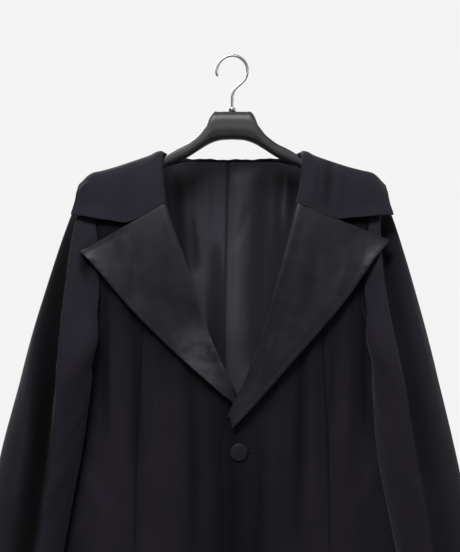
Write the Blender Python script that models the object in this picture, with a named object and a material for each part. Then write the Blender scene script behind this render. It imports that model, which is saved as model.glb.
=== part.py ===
"""Long open-collared jacket hanging on a broad coat hanger.

Metres, +X to the wearer's left, +Y to the back, +Z up. The origin is the inner top of the hanger's
hook, where the rod or wall hook carries it. "Drop" is the distance below that point.
"""

import math

import bpy
import bmesh
import numpy as np
from mathutils import Vector
from mathutils.bvhtree import BVHTree

# Cloth walls and seams.
SHELL = 0.0014
LAPEL_WALL = 0.0014
COLLAR_WALL = 0.0016
LINING_WALL = 0.0010
SEAM_GAP = 0.0003
LINING_GAP = 0.0012
LINING_GAP_LOW = 0.0045

# Shoulder line: a straight slope from the neck point, carried on the hanger's arms.
NECK_POINT = (0.0965, 0.134)
SHOULDER_SLOPE = 0.348
SHOULDER_RADIUS = 0.022
SWELL_DROP = 0.075
FORWARD_SWEEP = 0.25

# The body's flattened oval at each drop.
BODY = [
    # drop, half_width, front_depth, back_depth
    (0.100, 0.312, 0.060, 0.062),
    (0.250, 0.290, 0.060, 0.062),
    (0.330, 0.256, 0.060, 0.058),
    (0.388, 0.234, 0.058, 0.054),
    (0.510, 0.214, 0.052, 0.047),
    (0.640, 0.240, 0.056, 0.055),
    (0.930, 0.276, 0.064, 0.066),
]
SIDE_POWER = 2.6
UNDERARM = 0.388
HEM = 0.930

# Armhole seam, from the shoulder tip to the underarm.
ARMHOLE_FRONT = [
    # step, x, drop
    (0.0, 0.1960, 0.1686),
    (1.0, 0.1875, 0.1950),
    (2.0, 0.1795, 0.2310),
    (3.0, 0.1745, 0.2840),
    (4.0, 0.1735, 0.3252),
    (5.0, 0.1822, 0.3582),
    (6.0, 0.2037, 0.3800),
    (7.0, 0.2340, 0.3880),
]
ARMHOLE_BACK = [
    # step, x, drop
    (0.0, 0.1960, 0.1686),
    (1.0, 0.1910, 0.1950),
    (2.0, 0.1870, 0.2310),
    (3.0, 0.1845, 0.2840),
    (4.0, 0.1855, 0.3250),
    (5.0, 0.1940, 0.3580),
    (6.0, 0.2110, 0.3800),
    (7.0, 0.2340, 0.3880),
]

# Inner edge of each front: neckline, roll line of the lapel, then the front edge.
GORGE = 0.2055
FRONT_EDGE_LEFT = [
    # drop, x
    (0.1340, 0.0965),
    (0.1650, 0.0950),
    (0.2055, 0.0870),
    (0.2425, 0.0776),
    (0.3119, 0.0580),
    (0.3886, 0.0348),
    (0.4424, 0.0170),
    (0.4634, 0.0070),
    (0.4980, -0.0080),
    (0.5065, -0.0100),
    (0.6000, -0.0105),
    (0.9300, -0.0120),
]
FRONT_EDGE_RIGHT = [
    # drop, x
    (0.1340, 0.0965),
    (0.1650, 0.0955),
    (0.2055, 0.0900),
    (0.2889, 0.0612),
    (0.3618, 0.0378),
    (0.4078, 0.0203),
    (0.4461, 0.0030),
    (0.4800, -0.0130),
    (0.5065, -0.0240),
    (0.5300, -0.0270),
    (0.6000, -0.0275),
    (0.9300, -0.0290),
]

# Outer edge of each lapel, from its point down to the break.
LAPEL_EDGE_LEFT = [
    # step, x, drop
    (0.0, 0.2050, 0.2532),
    (1.0, 0.1857, 0.2772),
    (2.0, 0.1478, 0.3311),
    (3.0, 0.0905, 0.3955),
    (4.0, 0.0335, 0.4619),
    (5.0, 0.0089, 0.4885),
    (5.4, 0.0005, 0.4975),
]
LAPEL_EDGE_RIGHT = [
    # step, x, drop
    (0.0, 0.1984, 0.2689),
    (1.0, 0.1716, 0.2950),
    (2.0, 0.1298, 0.3440),
    (3.0, 0.0652, 0.4069),
    (4.0, 0.0113, 0.4562),
    (4.5, 0.0025, 0.4660),
]
NOTCH_LEFT = (0.1370, 0.2255)
NOTCH_RIGHT = (0.1360, 0.2312)
ROLL_RADIUS_TOP = 0.0026
ROLL_RADIUS_BREAK = 0.0014
LAPEL_REST = 0.0013
LAPEL_LIFT = 0.0022

# Collar: a wide flat collar from notch to notch round the back. The line that it lies on crosses
# from front to back: first the shoulder seam, then the head of the sleeve.
COLLAR_BED = [
    # x, drop
    (0.0000, 0.1004),
    (0.0965, 0.1340),
    (0.1870, 0.1655),
    (0.1980, 0.1684),
    (0.2035, 0.1745),
    (0.2090, 0.1890),
    (0.2135, 0.2050),
    (0.2175, 0.2200),
]
COLLAR_CORNER = (0.2085, 0.2215)
COLLAR_TIP_X = 0.2035
NECK_BACK = 0.1395
COLLAR_BACK = 0.2680
COLLAR_REST = 0.0032
COLLAR_LIFT = 0.0028
COLLAR_HALF_WIDTH = 0.300
COLLAR_FRONT_DEPTH, COLLAR_BACK_DEPTH = 0.060, 0.062
# Where the collar leaves the shoulder for the head of the sleeve, which turns over more gently.
SLEEVE_HEAD_FROM, SLEEVE_HEAD_TO = 0.190, 0.218
SLEEVE_HEAD_RADIUS = 0.036

# Sleeve rings below the cap: the tube's outline seen from the front, its middle and its depth.
SLEEVE_LEFT = [
    # drop, inner_x, outer_x, middle_y, half_depth
    (0.440, 0.180, 0.2750, -0.024, 0.072),
    (0.510, 0.184, 0.2910, -0.032, 0.064),
    (0.600, 0.202, 0.3090, -0.042, 0.058),
    (0.735, 0.230, 0.3210, -0.055, 0.051),
]
SLEEVE_RIGHT = [
    # drop, inner_x, outer_x, middle_y, half_depth
    (0.440, 0.180, 0.2820, -0.024, 0.072),
    (0.510, 0.192, 0.3020, -0.032, 0.064),
    (0.600, 0.210, 0.3170, -0.042, 0.058),
    (0.735, 0.234, 0.3250, -0.055, 0.051),
]
# Directions in which the cap leaves the top and the bottom of the armhole, and meets the first ring.
CAP_LEAVE = (0.12, -0.16, -0.08)
CAP_LOW_LEAVE = (0.22, -0.16, -0.90)
CAP_ARRIVE = (0.17, -0.05, -1.00)
CAP_END = 0.440
# Below the armhole's front the cap sags over the seam: where, how far down and up, inwards, forwards.
SLEEVE_SAG = (0.390, 0.034, 0.016, 0.007)
CUFF = 0.735
# The sleeve lies clear of the body's side between these drops and below.
SLEEVE_CLEAR = 0.0045
SLEEVE_CLEAR_FROM, SLEEVE_CLEAR_TO = 0.30, 0.37
VALLEY_RIGHT = [
    # drop, x, depth of the fold that runs down the sleeve's front
    (0.200, 0.2200, 0.0000),
    (0.260, 0.2290, 0.0040),
    (0.371, 0.2430, 0.0090),
    (0.503, 0.2530, 0.0095),
    (0.620, 0.2620, 0.0060),
    (0.735, 0.2700, 0.0020),
]
VALLEY_LEFT = [
    # drop, x, depth
    (0.200, 0.2060, 0.0000),
    (0.250, 0.2110, 0.0050),
    (0.330, 0.2200, 0.0090),
    (0.451, 0.2420, 0.0090),
    (0.503, 0.2550, 0.0080),
    (0.620, 0.2700, 0.0050),
    (0.735, 0.2780, 0.0010),
]
VALLEY_WIDTH = 0.015

# Soft folds of the body: each is a ridge from its start down to the hem.
FRONT_FOLDS = [
    # x_start, x_hem, start_drop, width, height
    (0.085, 0.100, 0.38, 0.014, 0.0035),
    (0.150, 0.175, 0.42, 0.016, 0.0040),
    (0.045, 0.050, 0.52, 0.016, 0.0040),
    (0.190, 0.232, 0.56, 0.014, 0.0050),
    (-0.085, -0.098, 0.38, 0.015, 0.0040),
    (-0.150, -0.180, 0.40, 0.016, 0.0035),
    (-0.055, -0.052, 0.50, 0.015, 0.0040),
    (-0.190, -0.235, 0.58, 0.014, 0.0050),
]
BACK_FOLDS = [
    # x_start, x_hem, start_drop, width, height
    (0.060, 0.075, 0.46, 0.020, 0.0050),
    (0.130, 0.165, 0.50, 0.020, 0.0060),
    (-0.055, -0.070, 0.48, 0.020, 0.0060),
    (-0.130, -0.160, 0.52, 0.020, 0.0050),
    (0.000, 0.003, 0.56, 0.016, 0.0040),
]
# Waist darts: the line of each dart and the depth that its seam pulls in.
DART = [
    # drop, x, depth
    (0.340, 0.1160, 0.0000),
    (0.400, 0.1190, 0.0022),
    (0.510, 0.1260, 0.0030),
    (0.600, 0.1270, 0.0018),
    (0.680, 0.1280, 0.0000),
]
DART_WIDTH = 0.007

# Overlap of the fronts at the middle.
OVER_FORWARD = 0.0030
UNDER_BACK = 0.0042
OVERLAP_REACH = 0.080
OVERLAP_FULL = 0.004
OVERLAP_FROM, OVERLAP_TO = 0.30, 0.44

# The lining behind the back: where its two halves meet, and how far it stops from the edges.
LINING_JOIN = [
    # drop, x
    (0.140, -0.0060),
    (0.300, -0.0095),
    (0.450, -0.0115),
    (0.900, -0.0110),
]
LINING_BELOW_NECK = 0.0040
LINING_BELOW_SHOULDER = 0.0130
LINING_MARGIN = 0.0120
LINING_HEM = 0.900

# Points along the armhole, the side seam and across the panels.
ARMHOLE_STEPS = [0, 0.05, 0.18, 0.5, 1.0, 1.7, 2.5, 3.3, 4.0, 4.7, 5.3, 5.8, 6.2, 6.5, 6.75, 6.9, 7.0]
FRONT_EDGE_DROPS = [
    *[0.1340, 0.1355, 0.1395, 0.1480, 0.1620, 0.1820],
    *[0.2055, 0.2310, 0.2570, 0.2820, 0.3050, 0.3250, 0.3420, 0.3560, 0.3680, 0.3780, 0.3880],
]
GORGE_ROW = 6
LOW_DROPS = [0.412, 0.436, 0.460, 0.484, 0.5065, 0.550, 0.610, 0.680, 0.760, 0.845, 0.930]
LAPEL_ROWS = 15
FRONT_COLUMNS = [0, 0.12, 0.26, 0.40, 0.54, 0.67, 0.78, 0.87, 0.94, 0.98, 0.995, 1.0]
BACK_COLUMNS = [0, 0.17, 0.30, 0.385, 0.445, 0.4923, 0.60, 0.72, 0.83, 0.91, 0.965, 0.99, 1.0]
NECK_COLUMN = 5

# Button at the waist.
BUTTON_X, BUTTON_DROP = 0.0085, 0.530
BUTTON_RADIUS = 0.0115
BUTTON_PROFILE = [
    # part of the radius, height off the cloth
    (0.82, 0.0006),
    (0.97, 0.0012),
    (1.00, 0.0020),
    (0.93, 0.0030),
    (0.70, 0.0038),
    (0.35, 0.0044),
]

# Hanger: an arched arm that sweeps forward with the shoulders, here its left half, and a wire hook.
HANGER = [
    # x, top_drop, bottom_drop, half_depth
    (0.0000, 0.0755, 0.1128, 0.0175),
    (0.0180, 0.0757, 0.1142, 0.0178),
    (0.0270, 0.0770, 0.1170, 0.0180),
    (0.0312, 0.0835, 0.1188, 0.0180),
    (0.0345, 0.0924, 0.1205, 0.0178),
    (0.0395, 0.0996, 0.1235, 0.0174),
    (0.0445, 0.1062, 0.1265, 0.0170),
    (0.0528, 0.1136, 0.1320, 0.0162),
    (0.0610, 0.1194, 0.1370, 0.0154),
    (0.0725, 0.1251, 0.1425, 0.0146),
    (0.0856, 0.1326, 0.1480, 0.0138),
    (0.0980, 0.1425, 0.1535, 0.0134),
    (0.1250, 0.1500, 0.1625, 0.0132),
    (0.1550, 0.1585, 0.1710, 0.0128),
    (0.1750, 0.1650, 0.1775, 0.0118),
    (0.1860, 0.1694, 0.1800, 0.0095),
    (0.1895, 0.1722, 0.1775, 0.0055),
]
HANGER_SQUARENESS = 2.5
HOOK_WIRE = 0.0020
HOOK_PATH = [
    # x, drop of the wire's middle, from the tip over the rod to the neck
    (-0.0200, 0.0270),
    (-0.0212, 0.0220),
    (-0.0206, 0.0145),
    (-0.0174, 0.0072),
    (-0.0120, 0.0018),
    (-0.0062, -0.0011),
    (0.0000, -0.0020),
    (0.0062, -0.0011),
    (0.0120, 0.0018),
    (0.0174, 0.0072),
    (0.0206, 0.0145),
    (0.0208, 0.0215),
    (0.0186, 0.0285),
    (0.0140, 0.0345),
    (0.0082, 0.0395),
    (0.0030, 0.0450),
    (0.0004, 0.0520),
    (0.0000, 0.0600),
    (0.0000, 0.0696),
]
HOOK_NUT_RADIUS, HOOK_NUT_TOP = 0.0050, 0.0700
HOOK_NUT_BEVEL = 0.0006

NODE_COLOURS = {
    "shell": ((0.016, 0.015, 0.018, 1.0), 0.85, 0.0),
    "satin": ((0.022, 0.021, 0.023, 1.0), 0.45, 0.0),
    "lining": ((0.040, 0.040, 0.047, 1.0), 0.50, 0.0),
    "hanger": ((0.028, 0.028, 0.030, 1.0), 0.45, 0.0),
    "steel": ((0.560, 0.560, 0.580, 1.0), 0.25, 1.0),
}


def clear_scene():
    for obj in list(bpy.data.objects):
        bpy.data.objects.remove(obj)


def material(name):
    found = bpy.data.materials.get(name)
    if found:
        return found
    colour, roughness, metallic = NODE_COLOURS[name]
    made = bpy.data.materials.new(name)
    made.use_nodes = True
    shader = made.node_tree.nodes["Principled BSDF"]
    shader.inputs["Base Color"].default_value = colour
    shader.inputs["Roughness"].default_value = roughness
    shader.inputs["Metallic"].default_value = metallic
    return made


def smooth_table(rows, at):
    """The other columns of a table at each value of its first, on a smooth curve through its rows."""
    rows = np.array(rows, float)
    keys, values = rows[:, 0], rows[:, 1:]
    slopes = np.gradient(values, keys, axis=0)
    at = np.clip(np.asarray(at, float), keys[0], keys[-1])
    low = np.clip(np.searchsorted(keys, at, side="right") - 1, 0, len(keys) - 2)
    span = keys[low + 1] - keys[low]
    t = ((at - keys[low]) / span)[..., None]
    leave, arrive = span[..., None] * slopes[low], span[..., None] * slopes[low + 1]
    return hermite(t, values[low], leave, values[low + 1], arrive)


def hermite(t, start, leave, end, arrive):
    """A smooth curve from start to end, with its directions at both."""
    return (
        (2 * t**3 - 3 * t**2 + 1) * start
        + (t**3 - 2 * t**2 + t) * leave
        + (3 * t**2 - 2 * t**3) * end
        + (t**3 - t**2) * arrive
    )


def columns_of(table):
    """The columns of a looked-up table as separate arrays."""
    return np.moveaxis(table, -1, 0)


def smooth_step(value, start, end):
    t = np.clip((value - start) / (end - start), 0, 1)
    return t * t * (3 - 2 * t)


def bell(distance, width):
    return np.exp(-((distance / width) ** 2))


def mix(a, b, t):
    return a + (b - a) * t


def unit(vectors):
    return vectors / np.maximum(np.linalg.norm(vectors, axis=-1, keepdims=True), 1e-12)


def points_at(x, y, drop):
    return np.stack(np.broadcast_arrays(x, y, -np.asarray(drop)), axis=-1)


def shoulder_drop(x):
    """Drop of the shoulder line, whose slope runs on towards the middle under the open neck."""
    return NECK_POINT[1] + (np.abs(x) - NECK_POINT[0]) * SHOULDER_SLOPE


def back_neck_drop(x):
    """The back neckline: nearly level, and up to the neck points at its ends."""
    return mix(NECK_BACK, NECK_POINT[1], np.clip(np.abs(x) / NECK_POINT[0], 0, 1) ** 8)


def back_top_drop(x):
    """Top edge of the back: its neckline, then the shoulder line."""
    return np.maximum(shoulder_drop(x), back_neck_drop(x))


def middle_y(x):
    """The shoulder line and the side seams sweep forward away from the middle."""
    return -FORWARD_SWEEP * x * x


def dart_groove(x, drop):
    line, depth = columns_of(smooth_table(DART, drop))
    inside = (drop > DART[0][0]) & (drop < DART[-1][0])
    return np.where(inside, depth * bell(np.abs(x) - line, DART_WIDTH), 0.0)


def fold_height(x, drop, folds):
    """Height of the soft folds: each grows from its start to the hem."""
    total = np.zeros(np.broadcast(x, drop).shape)
    for x_start, x_hem, start, width, height in folds:
        run = np.clip((drop - start) / (HEM - start), 0, 1)
        away = x - mix(x_start, x_hem, run)
        total = total + height * smooth_step(run, 0, 0.45) * bell(away, width * (1 + 0.6 * run))
    return total


def rounded_depth(below, radius, full):
    """Depth of cloth that turns over a rounded edge and then swells out to its full depth."""
    bend = np.clip(below / radius, 0, 1)
    return radius * np.sqrt(1 - (1 - bend) ** 2) + (full - radius) * (1 - np.exp(-below / SWELL_DROP))


def side_taper(x, half_width):
    return np.sqrt(np.clip(1 - np.clip(np.abs(x) / half_width, 0, 1) ** SIDE_POWER, 0, 1))


def body_y(x, drop, side):
    """Y of the body's outer face. side is -1 on the front and +1 on the back."""
    below = np.maximum(drop - shoulder_drop(x), 0)
    half_width, front, back = columns_of(smooth_table(BODY, drop))
    depth = rounded_depth(below, SHOULDER_RADIUS, front if side < 0 else back)
    depth = depth + fold_height(x, drop, FRONT_FOLDS if side < 0 else BACK_FOLDS)
    if side < 0:
        depth = depth - dart_groove(x, drop)
    return middle_y(x) + side * side_taper(x, half_width) * depth


def body_normal(x, drop, side, step=0.0004):
    """The outward direction of the body's outer face."""
    inward = np.where(x < 0, 1.0, -1.0) * step
    here = points_at(x, body_y(x, drop, side), drop)
    beside = points_at(x + inward, body_y(x + inward, drop, side), drop)
    beneath = points_at(x, body_y(x, drop + step, side), drop + step)
    normal = unit(np.cross(beside - here, beneath - here))
    return normal * np.sign(normal[..., 1:2]) * side


def in_seam_plane(normals):
    """Directions at a seam between front and back, which must not lean to either side."""
    return unit(normals * np.array([1.0, 0.0, 1.0]))


def overlap_shift(x, drop, hand):
    """The left front is carried forward and the right one back where they cross."""
    deep = smooth_step(drop, OVERLAP_FROM, OVERLAP_TO)
    toward_middle = smooth_step(-hand * x, -OVERLAP_REACH, -OVERLAP_FULL)
    return deep * toward_middle * (-OVER_FORWARD if hand > 0 else UNDER_BACK)


def grid_normals(grid, outward, ring=False):
    """Unit normals of a grid of points. outward is a direction that they roughly follow."""
    down = np.gradient(grid, axis=0)
    if ring:
        across = np.roll(grid, -1, axis=1) - np.roll(grid, 1, axis=1)
    else:
        across = np.gradient(grid, axis=1)
    normals = unit(np.cross(across, down))
    return normals * np.sign((normals * outward).sum())


def grid_faces(rows, cols, ring):
    """Triangles over a grid of points, all split the same way."""
    faces = []
    for r in range(rows - 1):
        for c in range(cols if ring else cols - 1):
            a, b = r * cols + c, r * cols + (c + 1) % cols
            faces += [(a, b, b + cols), (a, b + cols, a + cols)]
    return faces


def wall(name, outer, normals, thickness, material_name, ring=False):
    """A closed wall from a grid of points inwards. A ring's last column joins its first."""
    rows, cols = outer.shape[:2]
    inner = outer - normals * thickness
    points = np.concatenate([outer.reshape(-1, 3), inner.reshape(-1, 3)])
    count = rows * cols
    faces = grid_faces(rows, cols, ring)
    faces += [tuple(i + count for i in reversed(face)) for face in faces]
    rims = [[(0, c) for c in range(cols)], [(rows - 1, c) for c in range(cols)]]
    if not ring:
        rims += [[(r, 0) for r in range(rows)], [(r, cols - 1) for r in range(rows)]]
    for rim in rims:
        closed = rim + rim[:1] if ring else rim
        for first, second in zip(closed, closed[1:]):
            a, b = first[0] * cols + first[1], second[0] * cols + second[1]
            faces.append((a, b, b + count, a + count))
    return mesh_object(name, points, faces, material_name)


def mesh_object(name, points, faces, material_name):
    mesh = bpy.data.meshes.new(name)
    mesh.from_pydata([tuple(map(float, p)) for p in points], [], faces)
    made = bmesh.new()
    made.from_mesh(mesh)
    bmesh.ops.recalc_face_normals(made, faces=made.faces)
    made.to_mesh(mesh)
    made.free()
    mesh.shade_smooth()
    mesh.set_sharp_from_angle(angle=math.radians(50))
    obj = bpy.data.objects.new(name, mesh)
    bpy.context.scene.collection.objects.link(obj)
    mesh.materials.append(material(material_name))
    return obj


def surface_tree(sheets):
    """One search tree over the outer faces of several (outer, normals, ring) sheets."""
    points, faces = [], []
    for outer, normals, ring in sheets:
        start = len(points)
        rows, cols = outer.shape[:2]
        flat, flat_normals = outer.reshape(-1, 3), normals.reshape(-1, 3)
        points += [Vector(p) for p in flat]
        for face in grid_faces(rows, cols, ring):
            a, b, c = (flat[i] for i in face[:3])
            agrees = np.cross(b - a, c - a).dot(flat_normals[list(face)].sum(axis=0)) > 0
            faces.append(tuple(start + i for i in (face if agrees else reversed(face))))
    return BVHTree.FromPolygons(points, faces)


def lie_clear(grid, tree, clearance, fixed_columns=0, rounds=4):
    """Moves points out until they clear what they lie on, and evens the sheet out between rounds."""
    grid = grid.copy()
    for step in range(rounds):
        if step:
            soft = grid.copy()
            soft[1:-1, 1:-1] = (grid[:-2, 1:-1] + grid[2:, 1:-1] + grid[1:-1, :-2] + grid[1:-1, 2:]) / 4
            soft[1:-1, -1] = (grid[:-2, -1] + grid[2:, -1]) / 2
            grid[:, fixed_columns:] = mix(grid, soft, 0.5)[:, fixed_columns:]
        for r in range(grid.shape[0]):
            for c in range(fixed_columns, grid.shape[1]):
                point = Vector(grid[r, c])
                spot, normal, _, _ = tree.find_nearest(point)
                short = clearance[r, c] - (point - spot).dot(normal)
                if short > 0:
                    grid[r, c] += np.array(normal) * short
    return grid


def roll_over(edge, toward_open, outward, radius, steps):
    """A half-round roll from an edge of a panel out and back over it: its columns and their normals."""
    start = edge - outward * (SHELL / 2) + toward_open * SEAM_GAP
    columns, normals = [], []
    for angle in np.linspace(0, math.pi, steps + 1):
        facing = toward_open * math.sin(angle) - outward * math.cos(angle)
        columns.append(start + (outward + facing) * radius)
        normals.append(facing)
    return columns, normals


def outer_boundary(armhole, steps, low_drops):
    """(x, drop) of a panel's outer edge at each row: the armhole, then the side seam."""
    x, drop = columns_of(smooth_table(armhole, steps))
    low = np.array(low_drops)
    return np.concatenate([x, smooth_table(BODY, low)[:, 0]]), np.concatenate([drop, low])


def front_edge(hand, drop):
    return smooth_table(FRONT_EDGE_LEFT if hand > 0 else FRONT_EDGE_RIGHT, drop)[..., 0]


def front_sheet(hand, steps=ARMHOLE_STEPS, edge=FRONT_EDGE_DROPS, columns=FRONT_COLUMNS, low=LOW_DROPS):
    """Outer face of a front panel and its normals. hand is +1 for the wearer's left, -1 for the right."""
    outer_x, outer_drop = outer_boundary(ARMHOLE_FRONT, steps, low)
    inner_drop = np.array([*edge, *low])
    across = np.array(columns)
    x = mix(front_edge(hand, inner_drop)[:, None], outer_x[:, None], across) * hand
    drop = mix(inner_drop[:, None], outer_drop[:, None], across)
    drop[0] = shoulder_drop(x[0])
    normals = body_normal(x, drop, -1)
    outer = points_at(x, body_y(x, drop, -1) + overlap_shift(x, drop, hand), drop)
    seams = np.zeros(x.shape, bool)
    seams[0] = True
    seams[len(steps) - 1 :, -1] = True
    normals[seams] = in_seam_plane(normals[seams])
    outer[seams, 1] -= SEAM_GAP / 2
    return outer, normals, False


def back_sheet(steps=ARMHOLE_STEPS, columns=BACK_COLUMNS, low=LOW_DROPS):
    """Outer face of the back and its normals, from the wearer's right side seam to the left one."""
    outer_x, outer_drop = outer_boundary(ARMHOLE_BACK, steps, low)
    middle_drop = outer_drop.copy()
    middle_drop[: len(steps)] = mix(NECK_BACK, UNDERARM, (np.array(steps) / ARMHOLE_STEPS[-1]) ** 1.25)
    across = np.concatenate([-np.array(columns)[:0:-1], columns])
    x = outer_x[:, None] * across
    outward = smooth_step(np.abs(across), 0.2, 1.0)
    level = mix(middle_drop[:, None], outer_drop[:, None], outward)
    outer_under_top = outer_drop - back_top_drop(outer_x)
    under_top = mix((middle_drop - NECK_BACK)[:, None], outer_under_top[:, None], outward)
    near_top = np.clip(1 - (middle_drop - NECK_BACK) / (UNDERARM - NECK_BACK), 0, 1)[:, None]
    drop = mix(level, back_top_drop(x) + under_top, near_top)
    normals = body_normal(x, drop, 1)
    outer = points_at(x, body_y(x, drop, 1), drop)
    seams = np.zeros(x.shape, bool)
    seams[0] = np.abs(x[0]) > NECK_POINT[0] - 0.001
    seams[len(steps) - 1 :, [0, -1]] = True
    normals[seams] = in_seam_plane(normals[seams])
    outer[seams, 1] += SEAM_GAP / 2
    return outer, normals, False


def armhole_ring(hand, steps):
    """The armhole seam from the shoulder tip, down the front and up the back, with its normals."""
    halves, turns = [], []
    for table, side in ((ARMHOLE_FRONT, -1), (ARMHOLE_BACK, 1)):
        x, drop = columns_of(smooth_table(table, steps))
        points = points_at(x, body_y(x, drop, side), drop)
        normals = body_normal(x, drop, side)
        normals[[0, -1]] = in_seam_plane(normals[[0, -1]])
        lengths = np.concatenate([[0], np.cumsum(np.linalg.norm(np.diff(points, axis=0), axis=1))])
        halves.append((points, normals))
        turns.append(lengths / lengths[-1] * math.pi)
    points, normals = (np.concatenate([halves[0][k][:-1], halves[1][k][:0:-1]]) for k in (0, 1))
    turn = np.concatenate([turns[0][:-1], 2 * math.pi - turns[1][:0:-1]])
    mirror = np.array([hand, 1, 1])
    return points * mirror, normals * mirror, turn


def push_off_body(points, hand, clearance, weight):
    """Moves points out of the body's oval, along rays from a line inside it."""
    x, y, drop = points[..., 0] * hand, points[..., 1], -points[..., 2]
    half_width, front, back = columns_of(smooth_table(BODY, drop))
    core_x = half_width - 0.070
    middle = middle_y(x)
    away_x, away_y = x - core_x, y - middle
    depth = np.where(away_y < 0, front + 0.003, back + 0.004) + clearance
    wide = half_width + clearance

    def inside(scale):
        sideways = np.clip(np.abs(core_x + away_x * scale) / wide, 0, 2)
        return sideways**SIDE_POWER + (away_y * scale / depth) ** 2 < 1

    low, high = np.ones_like(x), np.full_like(x, 12.0)
    caught = inside(low) & (x > core_x - 0.03)
    for _ in range(30):
        half = (low + high) / 2
        still = inside(half)
        low, high = np.where(still, half, low), np.where(still, high, half)
    scale = np.where(caught, 1 + (high - 1) * weight, 1.0)
    moved = points_at((core_x + away_x * scale) * hand, middle + away_y * scale, drop)
    return np.where(caught[..., None], moved, points)


def sleeve_sheet(hand, steps=ARMHOLE_STEPS, cap_rows=10, low_rows=8):
    """Outer face of a sleeve: a cap that grows from the armhole, then rings down to the cuff."""
    seam, seam_normals, angle = armhole_ring(hand, steps)
    table = SLEEVE_LEFT if hand > 0 else SLEEVE_RIGHT
    top = np.clip(np.cos(angle), 0, 1)

    def ring(drop):
        inner, outer, middle, depth = smooth_table(table, drop)
        x = mix(inner, outer, (1 + np.cos(angle)) / 2)
        return points_at(x * hand, middle - depth * np.sin(angle), drop)

    first = ring(CAP_END)
    length = (seam[:, 2] - first[:, 2])[:, None]
    leave = mix(np.array(CAP_LOW_LEAVE), np.array(CAP_LEAVE), top[:, None]) * length
    leave *= np.stack([np.full_like(angle, hand), np.sin(angle), np.ones_like(angle)], axis=-1)
    arrive = np.array(CAP_ARRIVE) * [hand, 1, 1] * length
    rows = [hermite(t, seam, leave, first, arrive) for t in np.linspace(0, 1, cap_rows + 1)[:-1] ** 1.15]
    rows += [ring(drop) for drop in np.linspace(CAP_END, CUFF, low_rows + 1)]
    grid = np.array(rows)
    row = np.arange(len(rows))[:, None]
    sag_drop, sag_reach, inward, forward = SLEEVE_SAG
    lower_front = smooth_step(-np.cos(angle), -0.3, 0.4) * smooth_step(np.sin(angle), 0.1, 0.5)
    sag = lower_front * smooth_step(row, 0, 3) * bell(-grid[..., 2] - sag_drop, sag_reach)
    grid -= sag[..., None] * np.array([hand * inward, forward, 0])
    clearance = SLEEVE_CLEAR * smooth_step(row / cap_rows, -0.35, 0.3)
    for _ in range(3):
        around = (np.roll(grid, 1, axis=1) + np.roll(grid, -1, axis=1)) / 2
        grid = mix(grid, around, 0.25 * smooth_step(row, 2, 6)[..., None])
        grid[1:-1] = mix(grid[1:-1], (grid[:-2] + grid[2:]) / 2, 0.25)
        weight = smooth_step(-grid[..., 2], SLEEVE_CLEAR_FROM, SLEEVE_CLEAR_TO)
        grid[1:] = push_off_body(grid, hand, clearance, weight)[1:]
    centre = grid.mean(axis=1, keepdims=True)
    line, depth = columns_of(smooth_table(VALLEY_LEFT if hand > 0 else VALLEY_RIGHT, -grid[..., 2]))
    in_front = smooth_step(centre[..., 1] - grid[..., 1], 0.02, 0.05) * smooth_step(row, 0, 4)
    groove = depth * bell(grid[..., 0] * hand - line, VALLEY_WIDTH) * in_front
    grid += unit(centre - grid) * groove[..., None]
    along = np.roll(seam, -1, axis=0) - np.roll(seam, 1, axis=0)
    off_panel = unit(np.cross(along, seam_normals))
    off_panel *= np.sign((off_panel * (seam.mean(axis=0) - seam)).sum(axis=-1, keepdims=True))
    normals = grid_normals(grid, grid - centre, ring=True)
    beside = (np.roll(normals, 1, axis=1) + np.roll(normals, -1, axis=1)) / 2
    normals[1:] = unit(mix(normals, beside, 0.5)[1:])
    toward_sleeve = (normals[0] * off_panel).sum(axis=-1, keepdims=True)
    normals[0] = unit(normals[0] - np.maximum(toward_sleeve, 0) * off_panel)
    grid[0] += unit(off_panel + seam_normals) * SEAM_GAP * (2 - np.cos(angle))[:, None]
    return grid, normals, True


def lining_sheet(hand, cols=10, rows=15):
    """Outer face of half the lining: the back's points moved inside its wall."""
    down = np.linspace(0, 1, rows) ** 1.1
    low = mix(NECK_BACK, LINING_HEM, down)
    edge_x, edge_drop = outer_boundary(ARMHOLE_BACK, ARMHOLE_STEPS, LOW_DROPS)
    outer_x = np.interp(low, edge_drop, edge_x) - LINING_MARGIN
    join = smooth_table(LINING_JOIN, low)[:, 0] * hand + SEAM_GAP / 2
    across = np.sin(np.linspace(0, math.pi / 2, cols))
    x = mix(join[:, None], outer_x[:, None], across)
    top = back_top_drop(x[0]) + mix(LINING_BELOW_NECK, LINING_BELOW_SHOULDER, smooth_step(x[0], 0.06, 0.11))
    drop = mix(top[None, :], LINING_HEM, down[:, None])
    normals = body_normal(x * hand, drop, 1)
    inside = SHELL + mix(LINING_GAP, LINING_GAP_LOW, smooth_step(drop, 0.2, 0.42))
    outer = points_at(x * hand, body_y(x * hand, drop, 1), drop) - normals * inside[..., None]
    return outer, normals, False


def with_midpoints(points):
    """The same line with a point added in the middle of each of its pieces."""
    doubled = np.empty((2 * len(points) - 1, 3))
    doubled[::2] = points
    doubled[1::2] = (points[:-1] + points[1:]) / 2
    return doubled


def neck_line(front, back):
    """The left half of the neckline from the gorge to the middle of the back, its normals and its run."""
    middle = back[0].shape[1] // 2
    parts = []
    for k in (0, 1):
        on_front = front[k][GORGE_ROW + 1 :: -1, 0]
        on_back = back[k][0, middle : middle + NECK_COLUMN][::-1]
        parts.append(with_midpoints(np.concatenate([on_front, on_back])))
    points, normals = parts
    points[2 * GORGE_ROW + 2, 1] = middle_y(NECK_POINT[0])
    normals[-1, 0] = 0
    return points[2:], unit(normals)[2:], unit(np.gradient(points, axis=0))[2:]


def collar_bed(x):
    return smooth_table(COLLAR_BED, x)[..., 0]


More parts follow.
